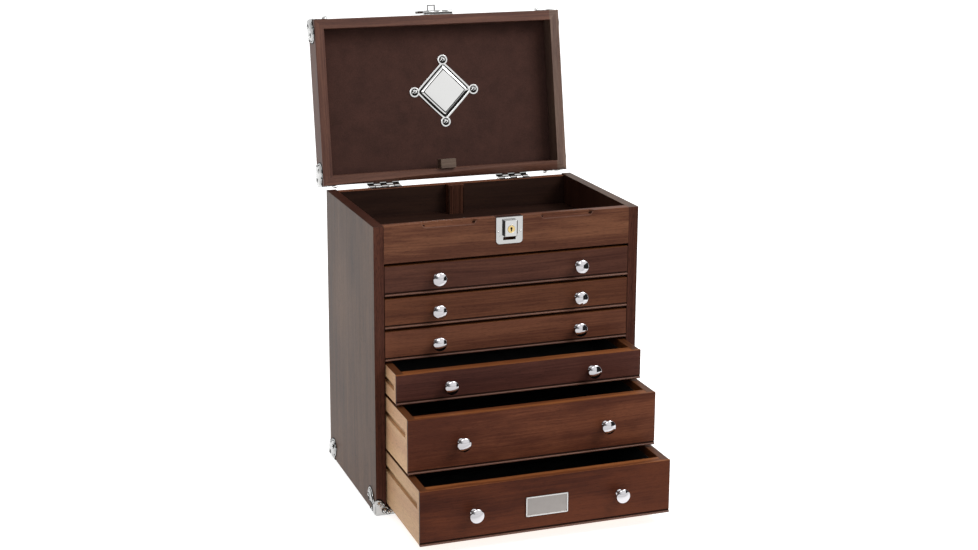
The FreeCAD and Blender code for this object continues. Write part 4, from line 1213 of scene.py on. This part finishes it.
def floor_paper(glow):
    """White paper, lit from below round the chest, that falls off to grey towards the front."""
    tree = material("pale_floor", Roughness=0.9, Emission_Strength=glow, Specular_IOR_Level=0.0)
    back = tree.vector("DOT_PRODUCT", tree.place, (0.307, 0.952, 0), "Value")
    back = tree.math("MULTIPLY_ADD", back, 8.0, 2.85, clamp=True)
    lit = tree.math("MULTIPLY_ADD", tree.noise(tree.place, 3.0), 0.01, back)
    tree.join("Base Color", tree.ramp(lit, (0.0, 0.30), (1.0, 0.70)))
    tree.join("Emission Color", tree.ramp(lit, (0.0, 0.40), (1.0, 1.0)))


def black_card():
    """A matt black card beside the camera's view, which the polished knobs mirror as a dark wedge."""
    tree = material("black_card", Roughness=0.9)
    tree.join("Base Color", tree.ramp(tree.noise(tree.place, 9.0), (0.0, 0.004), (1.0, 0.007)))


def surround(scene, brightness):
    """A white surround, dark at the camera's left and grey low down in front, as the metal mirrors it."""
    scene.world = bpy.data.worlds.new("surround")
    tree = Nodes(scene.world, "Background")
    direction = tree.coordinates["Generated"]
    near = tree.vector("DOT_PRODUCT", direction, (-0.80, -0.60, 0.0), "Value")
    dark = tree.ramp(near, (0.60, 1.0), (0.72, 0.05))
    up = tree.math("ADD", tree.part(direction, Z), 0.5)
    low = tree.ramp(up, (0.25, 0.42), (0.36, 0.58), (0.50, 0.85), (0.58, 1.0))
    front = tree.math("MULTIPLY", tree.part(direction, Y), -4.0, clamp=True)
    low = tree.mixed(front, (1, 1, 1, 1), low)
    tree.join("Color", tree.mixed(1.0, dark, low, "MULTIPLY"))
    tree.shader.inputs["Strength"].default_value = brightness


def soft_light(name, place, target, size, power):
    """A square soft box aimed at a point."""
    data = bpy.data.lights.new(name, "AREA")
    data.size = size
    data.energy = power
    turn = (Vector(target) - Vector(place)).to_track_quat("-Z", "Y").to_matrix().to_4x4()
    linked(name, data).matrix_world = Matrix.Translation(place) @ turn


def photo_camera(lens):
    """The camera at the photograph's viewing angle.

    Yaw turns from the back towards the right, pitch looks down, and the shift puts the principal point
    where the photograph's perspective has it, in an image of 978 by 550."""
    wide, tall = 978.0, 550.0
    centre_x, centre_y = 423.27, 198.91
    yaw, pitch, roll = 0.3125, 0.2219, -0.0040
    data = bpy.data.cameras.new("camera")
    data.sensor_width = 36.0
    data.lens = lens
    data.shift_x = (wide / 2 - centre_x) / wide
    data.shift_y = (centre_y - tall / 2) / wide
    data.clip_end = 50.0
    made = linked("camera", data)
    made.matrix_world = Matrix.Translation((-0.6497, -1.7967, 0.7699))
    for angle, axis in ((-yaw, "Z"), (math.pi / 2 - pitch, "X"), (roll, "Z")):
        made.matrix_world = made.matrix_world @ Matrix.Rotation(angle, 4, axis)
    return made


class CHEST_PT_panel(bpy.types.Panel):
    """Lists the steps that dress the chest"""

    bl_idname = "CHEST_PT_panel"
    bl_label = "Collectors drawer chest"
    bl_space_type = "VIEW_3D"
    bl_region_type = "UI"
    bl_category = "Chest"

    def draw(self, context):
        for step in STEPS:
            self.layout.operator(step.bl_idname)
        for group in GROUPS:
            settings = getattr(context.scene, group)
            for name in settings.__annotations__:
                self.layout.prop(settings, name)


GROUPS = {"chest_finishes": ChestFinishes, "chest_sizes": ChestSizes, "chest_studio": ChestStudio}
STEPS = (
    CHEST_OT_stage, CHEST_OT_finishes, CHEST_OT_boards, CHEST_OT_beads, CHEST_OT_scoops, CHEST_OT_rod_face,
    CHEST_OT_hardware, CHEST_OT_knobs, CHEST_OT_drawer_felt, CHEST_OT_lid_felt, CHEST_OT_diamond,
    CHEST_OT_corners, CHEST_OT_hinges, CHEST_OT_screws, CHEST_OT_spring,
)
CLASSES = (*GROUPS.values(), *STEPS, CHEST_PT_panel)


def register():
    for cls in CLASSES:
        bpy.utils.register_class(cls)
    for name, group in GROUPS.items():
        setattr(bpy.types.Scene, name, PointerProperty(type=group))


def unregister():
    for name in GROUPS:
        delattr(bpy.types.Scene, name)
    for cls in reversed(CLASSES):
        bpy.utils.unregister_class(cls)


def main():
    """Dresses the chest step by step."""
    register()
    for step in STEPS:
        group, name = step.bl_idname.split(".")
        getattr(getattr(bpy.ops, group), name)()


if __name__ == "__main__":
    main()
